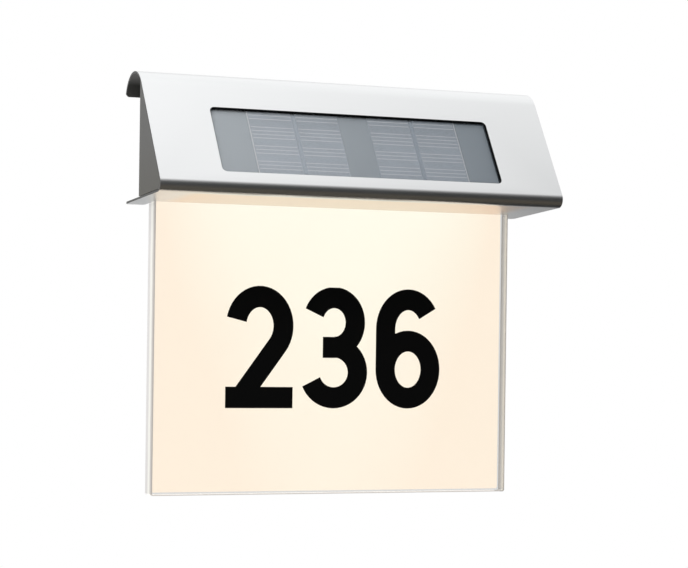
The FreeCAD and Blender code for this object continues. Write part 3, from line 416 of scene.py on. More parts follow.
def with_modifiers(item):
    """A new mesh of an object as its modifiers make it."""
    graph = bpy.context.evaluated_depsgraph_get()
    graph.update()
    return bpy.data.meshes.new_from_object(item.evaluated_get(graph))


def mesh_from(bm, name):
    mesh = bpy.data.meshes.new(name)
    bm.to_mesh(mesh)
    bm.free()
    return mesh


def soften_shading(mesh, degrees=32):
    """Smooth shading with sharp edges past an angle."""
    mesh.shade_smooth()
    mesh.set_sharp_from_angle(angle=math.radians(degrees))


def welded_copy(node, name):
    """A copy of a solid's mesh with its triangles joined, so that it can be shaded smooth."""
    mesh = frame["nodes"][node].data.copy()
    mesh.name = name
    mesh.materials.clear()
    bm = bmesh.new()
    bm.from_mesh(mesh)
    bmesh.ops.remove_doubles(bm, verts=bm.verts, dist=2e-6)
    bmesh.ops.dissolve_limit(
        bm, angle_limit=math.radians(0.2), verts=bm.verts, edges=bm.edges
    )
    bm.to_mesh(mesh)
    bm.free()
    if "custom_normal" in mesh.attributes:
        mesh.attributes.remove(mesh.attributes["custom_normal"])
    soften_shading(mesh)
    return mesh


def dressed(node, name, body, slot, materials, edge=0.0, pick=None):
    """A piece that stands for a solid: its own mesh with rounded edges. pick gives the
    number of the material for a face, from its middle and its normal."""
    mesh = welded_copy(node, name)
    piece = new_piece(name, mesh, *materials)
    if pick:
        for face in mesh.polygons:
            face.material_index = pick(face.center, face.normal)
    if edge:
        rounding = piece.modifiers.new("edges", "BEVEL")
        rounding.width = edge
        rounding.segments = 2
        rounding.limit_method = "ANGLE"
        rounding.angle_limit = math.radians(40)
        rounding.harden_normals = True
        rounding.use_clamp_overlap = True
    return finish_piece(piece, body, slot, node)


def paint(node, material):
    """Give a solid that stays as it is its material."""
    data = frame["nodes"][node].data
    data.materials.clear()
    data.materials.append(material)


def settings(context, name):
    return getattr(context.scene, name)


class NUMBERLIGHT_OT_hood(bpy.types.Operator):
    """Dress the bent hood in satin steel, with painted shade on the cut edge of its window, on the
    inside of its roll and on its ends
    """

    bl_idname = "number_light.hood"
    bl_label = "Hood"

    def execute(self, context):
        metal = settings(context, "number_light_metal")
        steel = satin_steel("hood_satin_steel", metal.steel_colour, metal.steel_roughness)
        # painted warm light on the hood's lip
        paint_warm_glow(steel)
        # painted shade: the window's cut edge is nearly black
        cut = moulded("cut_edge_painted_shade", (0.004, 0.004, 0.004), 0.6)
        # painted shade: the hood's sheared ends are a dark grey
        end = moulded("hood_end_painted_shade", (0.16, 0.16, 0.155), 0.5)
        dressed("hood", "hood_sheet", "lamp", "hood_steel", [steel, cut, roll_inside_painted_shade(), end],
                metal.edge_round, hood_finish)
        return {"FINISHED"}


def hood_finish(middle, normal):
    """1 in the window's cut edge, 2 on the inside of the roll, 3 on the hood's ends and 0
    elsewhere, for a face's middle and its normal."""
    slack = 0.0004
    if abs(normal.x) > 0.9 and abs(middle.x) > cad_high.x - slack:
        return 3
    around = Vector((0, middle.y, middle.z)) - ROLL_CENTRE
    on_inside = around.length < ROLL_INSIDE + slack and around.dot(normal) < 0
    if on_inside and around.z > slack:
        return 2
    down = (middle - FACE_START).dot(DOWN_FACE)
    low = WINDOW_TOP + WINDOW_HEIGHT + slack
    in_window = abs(middle.x) < WINDOW_HALF + slack and WINDOW_TOP - slack < down < low
    outward = abs(normal.dot(OUT_OF_FACE)) > 0.5
    behind_roll = middle.y < -0.03
    return 1 if in_window and behind_roll and not outward else 0


# the hood's turned in lip starts at this height and depth, and takes painted warm light between the
# panel's ends
LIP_TOP, LIP_FRONT = -0.0362, -0.0515
LIP_TURN_DOWN, LIP_TURN_BACK = 0.0005, 0.0010
CAST_EDGE, CAST_FADE = 0.001, 0.012


def paint_warm_glow(steel):
    """Painted warm light of the panel on the hood's turned in lip, between the panel's ends: the
    steel's colour is tinted warm there.
    """
    tree = steel.node_tree
    apart = split(tree, add_node(tree, "ShaderNodeTexCoord").outputs["Object"])
    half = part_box("acrylic_panel")[1].x
    sideways = compute(tree, "ABSOLUTE", apart["X"])
    between = spread(tree, sideways, half - CAST_EDGE, half - CAST_FADE,
                     interpolation_type="SMOOTHSTEP")
    low = spread(tree, apart["Z"], LIP_TOP, LIP_TOP - LIP_TURN_DOWN)
    rear = spread(tree, apart["Y"], LIP_FRONT, LIP_FRONT + LIP_TURN_BACK)
    share = compute(tree, "MULTIPLY", compute(tree, "MULTIPLY", between, low), rear)
    tint(steel, share, (1.12, 0.93, 0.79))


def roll_inside_painted_shade():
    """Painted shade on the inside of the roll: dark, and paler just under its top."""
    material, tree, shader, place = new_material("roll_inside_painted_shade", Roughness=0.5)
    pale_from, pale_full = 0.0165, 0.0205
    high = spread(tree, split(tree, place)["Z"], pale_from, pale_full)
    tone = graded(tree, high, [(0.0, (0.085, 0.085, 0.08)), (1.0, (0.42, 0.42, 0.41))])
    tree.links.new(tone, shader.inputs["Base Color"])
    return material


class NUMBERLIGHT_OT_housing(bpy.types.Operator):
    """Dress the housing, its back cover and the panel holder in moulded plastic"""

    bl_idname = "number_light.housing"
    bl_label = "Housing, back cover and holder"

    def execute(self, context):
        plastic = settings(context, "number_light_plastic")
        shell = moulded("housing_skin", plastic.housing_colour, 0.42)
        shade_downward(shell)
        holder = moulded("holder_skin", plastic.holder_colour, 0.5)
        edge = 0.0002
        dressed("housing", "housing_shell", "lamp", "housing_plastic", [shell], edge)
        dressed("back_cover", "back_cover_plate", "lamp", "cover_plastic", [shell], edge)
        dressed("panel_holder", "holder_channel", "lamp", "holder_plastic", [holder], edge)
        foam = moulded("foam", (0.014, 0.014, 0.014), 0.85, scale=1500.0, bump=0.6)
        for node in ("back_cover_seal", "solar_seal", "hood_tape"):
            paint(node, foam)
        return {"FINISHED"}


def shade_downward(skin):
    """Darker and warmer toward the bottom, where less of the sky and more of the lit panel
    reaches the housing."""
    tree = skin.node_tree
    place = add_node(tree, "ShaderNodeTexCoord").outputs["Object"]
    shaded_from, bottom = -0.010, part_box("housing")[0].z
    tint(skin, spread(tree, split(tree, place)["Z"], shaded_from, bottom), (0.79, 0.76, 0.66))


class NUMBERLIGHT_OT_bracket(bpy.types.Operator):
    """Dress the wall bracket and the lamp's hook plate in satin steel"""

    bl_idname = "number_light.bracket"
    bl_label = "Wall bracket and hook plate"

    def execute(self, context):
        metal = settings(context, "number_light_metal")
        darker, duller = 0.86, 0.06
        tone = [channel * darker for channel in metal.steel_colour]
        steel = satin_steel("bracket_satin_steel", tone, metal.steel_roughness + duller)
        dressed("wall_bracket", "wall_bracket_sheet", "bracket", "bracket_steel", [steel],
                metal.edge_round * 2)
        dressed("hanger_plate", "hook_plate_sheet", "lamp", "hanger_steel", [steel],
                metal.edge_round * 2)
        return {"FINISHED"}


class NUMBERLIGHT_OT_module(bpy.types.Operator):
    """Make the solar module: frosted pane, cells, fingers, end ribbons and board"""

    bl_idname = "number_light.module"
    bl_label = "Solar module"

    def execute(self, context):
        look = settings(context, "number_light_module")
        paint("solar_board", module_board(look.cell_colour))
        paint("solar_pane", frosted_pane())
        paint("solar_cells", silicon(look.cell_colour))
        silver = moulded("printed_silver", (0.98, 0.98, 1.0), 0.5, bump=0.05)
        rows = [
            start + line * look.finger_pitch
            for start, count in FINGER_GROUPS
            for line in range(count)
        ]
        points = [Vector((middle, -row, 0)) for middle in CELL_MIDDLES for row in rows]
        finger = Vector((CELL_WIDTH, look.finger_width, PRINT_THICK))
        tree = repeat_tree("cell_fingers", "bar")
        fingers = repeated("cell_fingers", tree, points, silver, {"Size": finger})
        points = [Vector((side, 0, 0)) for side in RIBBON_PLACES]
        ribbons = repeated("end_ribbons", tree, points, silver, {"Size": RIBBON_SIZE})
        for piece in (fingers, ribbons):
            piece.data.transform(cells_to_frame())
            finish_piece(piece, "lamp", "silicon")
        return {"FINISHED"}


# the painted black shadow line along the window's top and right edges is this wide
PAINTED_SHADOW_WIDTH = 0.0004
CELL_WIDTH = 0.0212
CELL_MIDDLES = (-0.0411, -0.0173, 0.0199, 0.0437)
PRINT_THICK = 0.00002
RIBBON_PLACES = (-0.0524, 0.0550)
RIBBON_SIZE = Vector((0.0005, 0.0400, 0.00003))
# first line below the middle of a cell, and number of lines, of each group
FINGER_GROUPS = ((-0.0172, 2), (-0.0102, 4), (0.0009, 3), (0.0099, 3))
# middle of the cells, down the face from its start and under the hood's outside
CELLS_DOWN = 0.0314
CELLS_UNDER = 0.0023


def cells_to_frame():
    """From the plane of the cells, with y up the face, to the frame. The middle of the print
    is half its thickness over that plane."""
    turn = Matrix.Rotation(FACE_SLOPE, 4, "X")
    down = Vector((0, -CELLS_DOWN, PRINT_THICK / 2 - CELLS_UNDER))
    return Matrix.Translation(FACE_START) @ turn @ Matrix.Translation(down)


def repeat_tree(name, shape):
    """A tree that puts one small shape on every point of a mesh. The shape is a "bar", or
    else the object given to the modifier, and "object" turns each about Y by chance."""
    tree = bpy.data.node_groups.new(name, "GeometryNodeTree")
    wanted = ("Size", "Vector") if shape == "bar" else ("Shape", "Object")
    for label, kind in (("Geometry", "Geometry"), ("Material", "Material"), wanted):
        tree.interface.new_socket(label, in_out="INPUT", socket_type=f"NodeSocket{kind}")
    tree.interface.new_socket("Geometry", in_out="OUTPUT", socket_type="NodeSocketGeometry")
    given = tree.nodes.new("NodeGroupInput").outputs
    result = tree.nodes.new("NodeGroupOutput")
    if shape == "bar":
        item = add_node(tree, "GeometryNodeMeshCube", {"Size": given["Size"]}).outputs[0]
    else:
        found = add_node(tree, "GeometryNodeObjectInfo", {"Object": given["Shape"]})
        item = found.outputs["Geometry"]
    placed = add_node(
        tree, "GeometryNodeInstanceOnPoints", {"Points": given["Geometry"], "Instance": item}
    )
    if shape == "object":
        angle = add_node(
            tree, "FunctionNodeRandomValue", {"Min": 0.0, "Max": math.tau, "Seed": 7}
        )
        turn = add_node(tree, "ShaderNodeCombineXYZ", {"Y": angle.outputs["Value"]})
        tree.links.new(turn.outputs["Vector"], placed.inputs["Rotation"])
    real = add_node(tree, "GeometryNodeRealizeInstances", {"Geometry": placed.outputs[0]})
    coated = add_node(
        tree, "GeometryNodeSetMaterial",
        {"Geometry": real.outputs[0], "Material": given["Material"]},
    )
    tree.links.new(coated.outputs[0], result.inputs[0])
    return tree


def repeated(name, tree, points, material, inputs):
    """Run a repeat tree on loose points and keep the result as a plain mesh."""
    mesh = bpy.data.meshes.new(f"{name}_points")
    mesh.from_pydata(points, [], [])
    carrier = new_object(f"{name}_carrier", mesh)
    modifier = carrier.modifiers.new("repeat", "NODES")
    modifier.node_group = tree
    sockets = {item.name: item.identifier for item in tree.interface.items_tree
               if item.in_out == "INPUT"}
    for label, value in {"Material": material, **inputs}.items():
        modifier[sockets[label]] = value
    result = with_modifiers(carrier)
    result.name = name
    bpy.data.objects.remove(carrier)
    return new_object(name, result)


def module_board(cell_colour):
    """Grey board, nearly as dark as the cells in the gap between the two of a pair."""
    material = moulded("module_board_skin", (0.63, 0.67, 0.70), 0.4)
    tree = material.node_tree
    across = split(tree, add_node(tree, "ShaderNodeTexCoord").outputs["Object"])["X"]
    gaps = [
        compute(tree, "COMPARE", across, (first + second) / 2, (second - first) / 2)
        for first, second in (CELL_MIDDLES[:2], CELL_MIDDLES[2:])
    ]
    paler = 1.08
    dark = [tone * paler for tone in cell_colour]
    tint(material, compute(tree, "MAXIMUM", *gaps), dark, "MIX")
    return material


def silicon(colour):
    """Silicon with a slight crystal tone, seen through the pane."""
    material, tree, shader, place = new_material("silicon_cell", Roughness=0.3)
    crystals = add_node(tree, "ShaderNodeTexVoronoi", {"Vector": place, "Scale": 900.0})
    value = spread(tree, crystals.outputs["Distance"], 0.0, 1.0, (0.92, 1.08))
    tree.links.new(brighter(tree, rgba(colour), value), shader.inputs["Base Color"])
    return material


def frosted_pane():
    """Thin clear resin sheet with a slightly frosted face, which lifts what lies under it. Its
    colour carries painted light: light at the left and dark at the right. A painted black
    shadow line runs along the window's top and right edges."""
    material, tree, shader, place = new_material("frosted_resin")
    speckle = noise(tree, place, 1800.0)
    tree.links.new(spread(tree, speckle, 0.0, 1.0, (0.22, 0.34)), shader.inputs["Roughness"])
    raise_bump(tree, shader, speckle, 0.08, 0.00002)
    across = split(tree, place)["X"]
    down = distance_along(tree, place, DOWN_FACE)
    top = FACE_START.dot(DOWN_FACE) + WINDOW_TOP
    # painted shadow: a black, opaque line along the window's top and right edges
    painted_shadow_line = compute(
        tree, "MAXIMUM", compute(tree, "LESS_THAN", down, top + PAINTED_SHADOW_WIDTH),
        compute(tree, "GREATER_THAN", across, WINDOW_HALF - PAINTED_SHADOW_WIDTH),
    )
    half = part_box("solar_pane")[1].x
    # painted light: the pane's colour runs from light at the left to dark at the right
    haze = graded(tree, spread(tree, across, -half, half),
                  [(0.0, (0.74, 0.79, 0.83)), (1.0, (0.32, 0.39, 0.46))])
    black = rgba((0.003, 0.003, 0.003))
    tree.links.new(blended(tree, painted_shadow_line, haze, black), shader.inputs["Base Color"])
    haze_share = 0.28
    tree.links.new(spread(tree, painted_shadow_line, 0.0, 1.0, (haze_share, 1.0)), shader.inputs["Alpha"])
    return material


class NUMBERLIGHT_OT_panel(bpy.types.Operator):
    """Make the clear panel, its lit white film and the number on its front"""

    bl_idname = "number_light.panel"
    bl_label = "Panel, film and number"

    def execute(self, context):
        look = settings(context, "number_light_panel")
        dressed("acrylic_panel", "clear_panel", "lamp", "clear_acrylic",
                [clear_acrylic(), painted_edge_glow()], pick=panel_finish)
        paint("reflector_film", lit_film(look))
        self.add_number(look)
        return {"FINISHED"}

    def add_number(self, look):
        """The digits as thin foil on the panel's front, all in one mesh."""
        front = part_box("acrylic_panel")[0].y
        count = max(1, len(look.number))
        wide = (look.digit_spread - (count - 1) * DIGIT_GAP) / count
        low = look.digit_middle - look.digit_height / 2
        bm = bmesh.new()
        for place, digit in enumerate(look.number):
            left = NUMBER_SHIFT - look.digit_spread / 2 + place * (wide + DIGIT_GAP)
            add_digit(bm, digit, Vector((left, low)), Vector((wide, look.digit_height)),
                      look.digit_stroke)
        bmesh.ops.recalc_face_normals(bm, faces=bm.faces)
        bmesh.ops.translate(bm, verts=bm.verts, vec=(0, front, 0))
        foil = moulded("number_foil_black", look.digit_colour, 0.6, scale=900.0, bump=0.05,
                       Specular_IOR_Level=0.15)
        piece = new_piece("number_foil", mesh_from(bm, "number_foil"), foil)
        finish_piece(piece, "lamp", "knob_black")


def panel_finish(middle, normal):
    """1 on the panel's narrow sides and bevels, 0 on both faces and in the screws' holes."""
    holes_low, holes_half = -0.033, 0.09
    in_hole = middle.z > holes_low and abs(middle.x) < holes_half
    return 0 if abs(normal.y) > 0.9 or in_hole else 1


DIGIT_GAP = 0.0045
NUMBER_SHIFT = -0.0004
FOIL = 0.00012
# strokes of the digits, along their middle lines in a box from 0 to 1. Two numbers are a
# point, six are an arc: its middle, its two radii, and its first and last angle.
DIGIT_STROKES = {
    "0": [[(0.5, 0.7, 0.5, 0.3, 0, 180), (0.5, 0.3, 0.5, 0.3, 180, 360), (1, 0.7)]],
    "1": [[(0.62, 2), (0.62, -1)], [(0.62, 0.98), (0.1, 0.74)]],
    "2": [[(0.5, 0.71, 0.5, 0.29, 168, -40), (-0.04, -0.1)], [(-1, 0), (2, 0)]],
    "3": [
        [(0.48, 0.755, 0.46, 0.25, 158, -90)],
        [(0.48, 0.255, 0.52, 0.255, 90, -158)],
        [(0.24, 0.505), (0.5, 0.505)],
    ],
    "4": [[(0.72, 2), (0.72, -1)], [(-1, 0.27), (2, 0.27)], [(0.66, 1.04), (-0.02, 0.24)]],
    "5": [
        [(0.1, 1), (1, 1)],
        [(0.12, 1.05), (0.05, 0.5)],
        [(0.46, 0.31, 0.54, 0.31, 142, -150)],
    ],
    "6": [[(0.5, 0.7, 0.5, 0.3, 32, 180), (0.5, 0.29, 0.5, 0.29, 180, 540)]],
    "7": [[(-1, 1), (2, 1)], [(0.98, 1.04), (0.3, -0.2)]],
    "8": [[(0.5, 0.755, 0.43, 0.245, 0, 360)], [(0.5, 0.26, 0.5, 0.26, 0, 360)]],
    "9": [[(0.5, 0.3, 0.5, 0.3, 212, 360), (0.5, 0.71, 0.5, 0.29, 0, 360)]],
}


def stroke_line(steps, size):
    """The points of a stroke at real size."""
    line = []
    for step in steps:
        if len(step) == 2:
            line.append(Vector(step) * size)
            continue
        middle_x, middle_y, across, upward, first, last = step
        count = max(2, round(abs(last - first) / 7.5))
        for number in range(count + 1):
            angle = math.radians(first + (last - first) * number / count)
            spot = (middle_x + across * math.cos(angle), middle_y + upward * math.sin(angle))
            line.append(Vector(spot) * size)
    return line


def stroke_outline(line, half):
    """Four cornered faces along a line, each corner shared with the next face."""
    ahead = [(after - before).normalized() for before, after in zip(line, line[1:])]
    corners = []
    for number, spot in enumerate(line):
        before, after = ahead[max(0, number - 1)], ahead[min(number, len(ahead) - 1)]
        way = (before + after).normalized()
        side = Vector((-way.y, way.x)) * half / max(0.5, way.dot(after))
        corners += [spot + side, spot - side]
    faces = [
        (2 * number, 2 * number + 1, 2 * number + 3, 2 * number + 2)
        for number in range(len(line) - 1)
    ]
    return corners, faces


def add_digit(bm, digit, corner, size, stroke):
    """One digit as closed foil. Its strokes are joined into one outline and trimmed to the
    digit's box."""
    half = stroke / 2
    room = size - Vector((stroke, stroke))
    corners, faces = [], []
    for steps in DIGIT_STROKES.get(digit, []):
        more, sides = stroke_outline(stroke_line(steps, room), half)
        faces += [[len(corners) + number for number in side] for side in sides]
        corners += more
    if not faces:
        return
    spots, _, parts, _, _, owners = geometry.delaunay_2d_cdt(corners, [], faces, 1, 1e-6)
    joined = [part for part, owner in zip(parts, owners) if owner]
    flat = bmesh.new()
    made = [
        flat.verts.new((corner.x + half + spot.x, 0, corner.y + half + spot.y)) for spot in spots
    ]
    for side in joined:
        flat.faces.new([made[number] for number in side])
    far = corner + size
    for spot, way in (
        ((corner.x, 0, 0), (-1, 0, 0)), ((far.x, 0, 0), (1, 0, 0)),
        ((0, 0, corner.y), (0, 0, -1)), ((0, 0, far.y), (0, 0, 1)),
    ):
        whole = flat.verts[:] + flat.edges[:] + flat.faces[:]
        bmesh.ops.bisect_plane(
            flat, geom=whole, dist=1e-7, plane_co=spot, plane_no=way, clear_outer=True
        )
    bmesh.ops.dissolve_limit(
        flat, angle_limit=math.radians(0.5), verts=flat.verts, edges=flat.edges
    )
    bmesh.ops.triangulate(flat, faces=flat.faces)
    raised = bmesh.ops.extrude_face_region(flat, geom=flat.faces[:])["geom"]
    lifted = [item for item in raised if isinstance(item, bmesh.types.BMVert)]
    bmesh.ops.translate(flat, verts=lifted, vec=(0, -FOIL, 0))
    mesh = mesh_from(flat, "digit")
    bm.from_mesh(mesh)
    bpy.data.meshes.remove(mesh)


def clear_acrylic():
    """Clear cast sheet."""
    material, tree, shader, place = new_material(
        "clear_acrylic_sheet", Transmission_Weight=1.0, IOR=1.49,
        Base_Color=(0.985, 0.99, 0.985, 1.0),
    )
    haze = noise(tree, place, 60.0, 3.0)
    tree.links.new(spread(tree, haze, 0.0, 1.0, (0.0, 0.03)), shader.inputs["Roughness"])
    return material


def painted_edge_glow():
    """Polished edge of the clear sheet, with a painted glow in place of the light scattered inside
    it: a grey rear, a bright middle and a dim line at the front bevel. The painted glow is less
    on the far side, and more on the bottom bevel."""
    material, tree, shader, place = new_material(
        "panel_edge_painted_glow", Roughness=0.25, Emission_Strength=1.0
    )
    low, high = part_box("acrylic_panel")
    wander, forward_shift = 0.0012, 0.0006
    far_edge, far_fade, far_share = 0.003, 0.001, 0.58
    bevel, bevel_fade, bevel_share = 0.0009, 0.0003, 1.4
    apart = split(tree, place)
    depth = compute(tree, "MULTIPLY_ADD", noise(tree, place, 90.0, 3.0), wander, apart["Y"])
    forward = spread(tree, depth, high.y + forward_shift, low.y + forward_shift)
    tone = graded(tree, forward, [
        (0.34, (0.42, 0.41, 0.40)), (0.46, (0.54, 0.53, 0.49)), (0.68, (0.54, 0.53, 0.49)),
        (0.82, (0.32, 0.30, 0.28)),
    ])
    far_from, bevel_top = high.x - far_edge, low.z + bevel
    far = spread(tree, apart["X"], far_from, far_from + far_fade, (1.0, far_share))
    below = spread(tree, apart["Z"], bevel_top, bevel_top - bevel_fade, (1.0, bevel_share))
    # painted glow: the tone is both the edge's colour and its emission
    shown = brighter(tree, tone, compute(tree, "MULTIPLY", far, below))
    tree.links.new(shown, shader.inputs["Base Color"])
    tree.links.new(shown, shader.inputs["Emission Color"])
    return material


def lit_film(look):
    """White film that glows, warmest at the sides and the bottom. The light fans out from a
    wide even band at the top."""
    material, tree, shader, place = new_material(
        "lit_white_film", Roughness=0.6, Emission_Strength=look.glow_strength,
        Base_Color=(0.25, 0.25, 0.24, 1.0),
    )
    low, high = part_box("reflector_film")
    fully_warm = high.x / 1.05
    fan_end, square_power, fan_power = 0.4, 4.0, 2.0
    downward_share, unevenness = 0.75, 0.3
    apart = split(tree, place)
    aside = compute(tree, "ABSOLUTE", compute(tree, "DIVIDE", apart["X"], fully_warm))
    downward = spread(tree, apart["Z"], high.z, low.z)
    power = spread(tree, downward, 0.0, fan_end, (square_power, fan_power))
    side = compute(tree, "POWER", aside, power)
    away = compute(tree, "MULTIPLY_ADD", downward, downward_share, side)
    cloud = noise(tree, place, 14.0)
    uneven = compute(tree, "MULTIPLY_ADD", cloud, unevenness, -unevenness / 2)
    share = compute(tree, "ADD", away, uneven, use_clamp=True)
    glow = graded(tree, share, [(0.0, look.glow_middle), (1.0, look.glow_edge)])
    tree.links.new(glow, shader.inputs["Emission Color"])
    return material


class NUMBERLIGHT_OT_screws(bpy.types.Operator):
    """Make the domed cross head screws of the cover, panel, hook plate, holder and board"""

    bl_idname = "number_light.screws"
    bl_label = "Screws"

    def execute(self, context):
        steel = satin_steel("screw_steel_turned", (0.62, 0.62, 0.63), 0.3, along="y", bump=0.05)
        tree = repeat_tree("screws", "object")
        for node, name, head, shank, depth, places in SCREWS:
            low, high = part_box(node)
            rear, front = high.y + depth, -depth - low.y
            tall, long = sorted((rear, front))
            blank = screw_blank(name, head, tall, shank, long, -90 if rear < front else 90)
            points = [Vector((across, -depth, up)) for across, up in places]
            screws = repeated(name, tree, points, steel, {"Shape": blank})
            bpy.data.objects.remove(blank)
            finish_piece(screws, "lamp", "screw_steel", node)
        return {"FINISHED"}


# node, piece, head radius, shank radius, depth of the head's seat, and places as X and Z
SCREWS = [
    ("back_cover_screws", "cover_pan_screws", 0.0026, 0.0010, 0.0215,
     [(side * across, up) for side in (-1, 1)
      for across, up in ((0.0946, 0.003), (0.048, 0.003), (0.0946, -0.0294))]),
    ("panel_screws", "panel_clamp_screws", 0.00275, 0.00125, 0.0045,
     [(-0.07, -0.029), (0.0, -0.029), (0.07, -0.029)]),
    ("hanger_screws", "hook_plate_screws", 0.00275, 0.00125, 0.0200,
     [(-0.022, -0.0063), (0.022, -0.0063)]),
    ("holder_screws", "holder_pan_screws", 0.0021, 0.0010, 0.0235,
     [(-0.078, -0.018), (-0.028, -0.018), (0.028, -0.018), (0.078, -0.018)]),
    ("board_screws", "board_pan_screws", 0.0019, 0.00085, 0.0273,
     [(0.058, -0.018), (0.085, -0.025)]),
]


def screw_blank(name, head, tall, shank, long, turn):
    """A pan head screw with a tapered cross recess, made along Z and turned about X. Its
    section is a list of radii and heights: the dome, the flat under the head and the shank."""
    cross_arm, cross_half_slot, tip_radius, tip_start = 0.56, 0.14, 0.25, 0.84
    dome = ((0, 1), (0.50, 0.97), (0.78, 0.84), (0.93, 0.60), (1, 0.25), (1, 0))
    section = [(out * head, up * tall) for out, up in dome]
    section += [(shank, 0), (shank, -tip_start * long)]
    section += [(tip_radius * shank, -long), (0, -long)]
    bm = bmesh.new()
    spots = [bm.verts.new((out, 0, up)) for out, up in section]
    lines = [bm.edges.new(pair) for pair in zip(spots, spots[1:])]
    bmesh.ops.spin(
        bm, geom=spots + lines, cent=(0, 0, 0), axis=(0, 0, 1), angle=math.tau, steps=28
    )
    bmesh.ops.remove_doubles(bm, verts=bm.verts, dist=1e-6)
    bmesh.ops.recalc_face_normals(bm, faces=bm.faces)
    blank = new_piece(name, mesh_from(bm, name))
    tool = cross_tool(cross_arm * head, cross_half_slot * head, tall)
    cut = blank.modifiers.new("cross", "BOOLEAN")
    cut.object = tool
    cut.operation = "DIFFERENCE"
    cut.solver = "EXACT"
    finished = with_modifiers(blank)
    blank.modifiers.remove(cut)
    blank.data = finished
    bpy.data.objects.remove(tool)
    soften_shading(finished, 40)
    finished.transform(Matrix.Rotation(math.radians(turn), 4, "X"))
    return blank


def cross_tool(arm, slot, tall):
    """A tapered cross that reaches down into a head of the given height."""
    over_head, floor, narrow = 1.2 * tall, 0.42 * tall, 0.62
    cross = [(slot, slot), (slot, arm), (-slot, arm)]
    for _ in range(3):
        cross += [(-y, x) for x, y in cross[-3:]]
    bm = bmesh.new()
    top = [bm.verts.new((x, y, over_head)) for x, y in cross]
    bottom = [bm.verts.new((narrow * x, narrow * y, floor)) for x, y in cross]
    bm.faces.new(top)
    bm.faces.new(bottom)
    for number, corner in enumerate(top):
        before = number - 1
        bm.faces.new((top[before], corner, bottom[number], bottom[before]))
    bmesh.ops.recalc_face_normals(bm, faces=bm.faces)
    return new_piece("cross_tool", mesh_from(bm, "cross_tool"))


class NUMBERLIGHT_OT_electronics(bpy.types.Operator):
    """Give the boards, lights, cells, contacts, switch and leads their materials"""

    bl_idname = "number_light.electronics"
    bl_label = "Electronics"

    def execute(self, context):
        finishes = {
            "led_board": moulded("white_mask", (0.82, 0.82, 0.80), 0.4),
            "circuit_board": printed_board(),
            "driver_chip": moulded("chip_resin", (0.02, 0.02, 0.02), 0.6),
            "inductor": moulded("ferrite_core", (0.05, 0.05, 0.05), 0.7),
            "capacitor": moulded("capacitor_sleeve", (0.03, 0.04, 0.10), 0.35),
            "switch_body": moulded("switch_resin", (0.02, 0.02, 0.02), 0.35),
            "switch_knob": moulded("knob_resin", (0.015, 0.015, 0.015), 0.55),
            "batteries": battery_sleeve(),
            "solar_leads": moulded("red_insulation", (0.45, 0.02, 0.015), 0.45),
            "battery_leads": moulded("black_insulation", (0.02, 0.02, 0.02), 0.45),
            "led_leads": moulded("white_insulation", (0.7, 0.7, 0.68), 0.45),
        }
        for node, material in finishes.items():
            paint(node, material)
        paint("battery_contacts", satin_steel("nickel", (0.70, 0.68, 0.62), 0.22, along="z"))
        self.add_lights()
        return {"FINISHED"}

    def add_lights(self):
        """Each light is a pale case with a yellow lens that stands out under it."""
        low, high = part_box("leds")
        middle = (low.y + high.y) / 2
        points = [
            Vector((LED_PITCH * (number - (LED_COUNT - 1) / 2), middle, high.z))
            for number in range(LED_COUNT)
        ]
        tree = repeat_tree("lights", "plain object")
        for name, size, deep, material in (
            ("led_cases", (0.0035, 0.0028), 0.0011, moulded("led_case", (0.8, 0.79, 0.74), 0.4)),
            ("led_lenses", (0.0025, 0.0019), 0.0014, lit_lens()),
        ):
            shape = led_shape(f"{name}_shape", size, deep)
            lights = repeated(name, tree, points, material, {"Shape": shape})
            bpy.data.objects.remove(shape)
            finish_piece(lights, "lamp", "led_lens", "leds")


LED_COUNT, LED_PITCH = 6, 0.029


def led_shape(name, size, deep):
    """A block hanging under its origin, narrower at the bottom, with rounded edges."""
    bottom_share, rounding_share = 0.88, 0.1
    bm = bmesh.new()
    bmesh.ops.create_cube(bm, size=1.0)
    for spot in bm.verts:
        narrow = bottom_share if spot.co.z < 0 else 1.0
        spot.co = (spot.co.x * size[0] * narrow, spot.co.y * size[1] * narrow,
                   (spot.co.z - 0.5) * deep)
    bmesh.ops.bevel(
        bm, geom=bm.edges[:], offset=min(size) * rounding_share, segments=2, affect="EDGES",
        profile=0.5,
    )
    bmesh.ops.recalc_face_normals(bm, faces=bm.faces)
    shape = new_piece(name, mesh_from(bm, name))
    soften_shading(shape.data)
    return shape


def printed_board():
    """Green mask over copper tracks."""
    material, tree, shader, place = new_material("green_mask", Roughness=0.35)
    tracks = add_node(
        tree, "ShaderNodeTexVoronoi", {"Vector": place, "Scale": 260.0, "Randomness": 0.55},
        feature="F1", distance="CHEBYCHEV",
    )
    mask, track = (0.012, 0.085, 0.035), (0.03, 0.17, 0.07)
    tone = graded(tree, tracks.outputs["Distance"], [(0.40, mask), (0.44, track)])
    tree.links.new(tone, shader.inputs["Base Color"])
    raise_bump(tree, shader, tone, 0.2, 0.00003)
    return material


def battery_sleeve():
    """Shrunk green sleeve with two dark bands near one end of each cell, and bare metal ends."""
    material, tree, shader, place = new_material("battery_sleeve", Roughness=0.3)
    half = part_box("batteries")[1].x
    cells = compute(tree, "MULTIPLY", spread(tree, split(tree, place)["X"], -half, half), 2.0)
    metal, green, dark = (0.55, 0.55, 0.54), (0.05, 0.17, 0.08), (0.012, 0.012, 0.012)
    tone = graded(tree, compute(tree, "FRACT", cells), [
        (0.0, metal), (0.02, green), (0.70, dark), (0.73, green), (0.76, dark), (0.955, metal),
    ], "CONSTANT")
    tree.links.new(tone, shader.inputs["Base Color"])
    raise_bump(tree, shader, noise(tree, place, 120.0), 0.1, 0.00005)
    return material


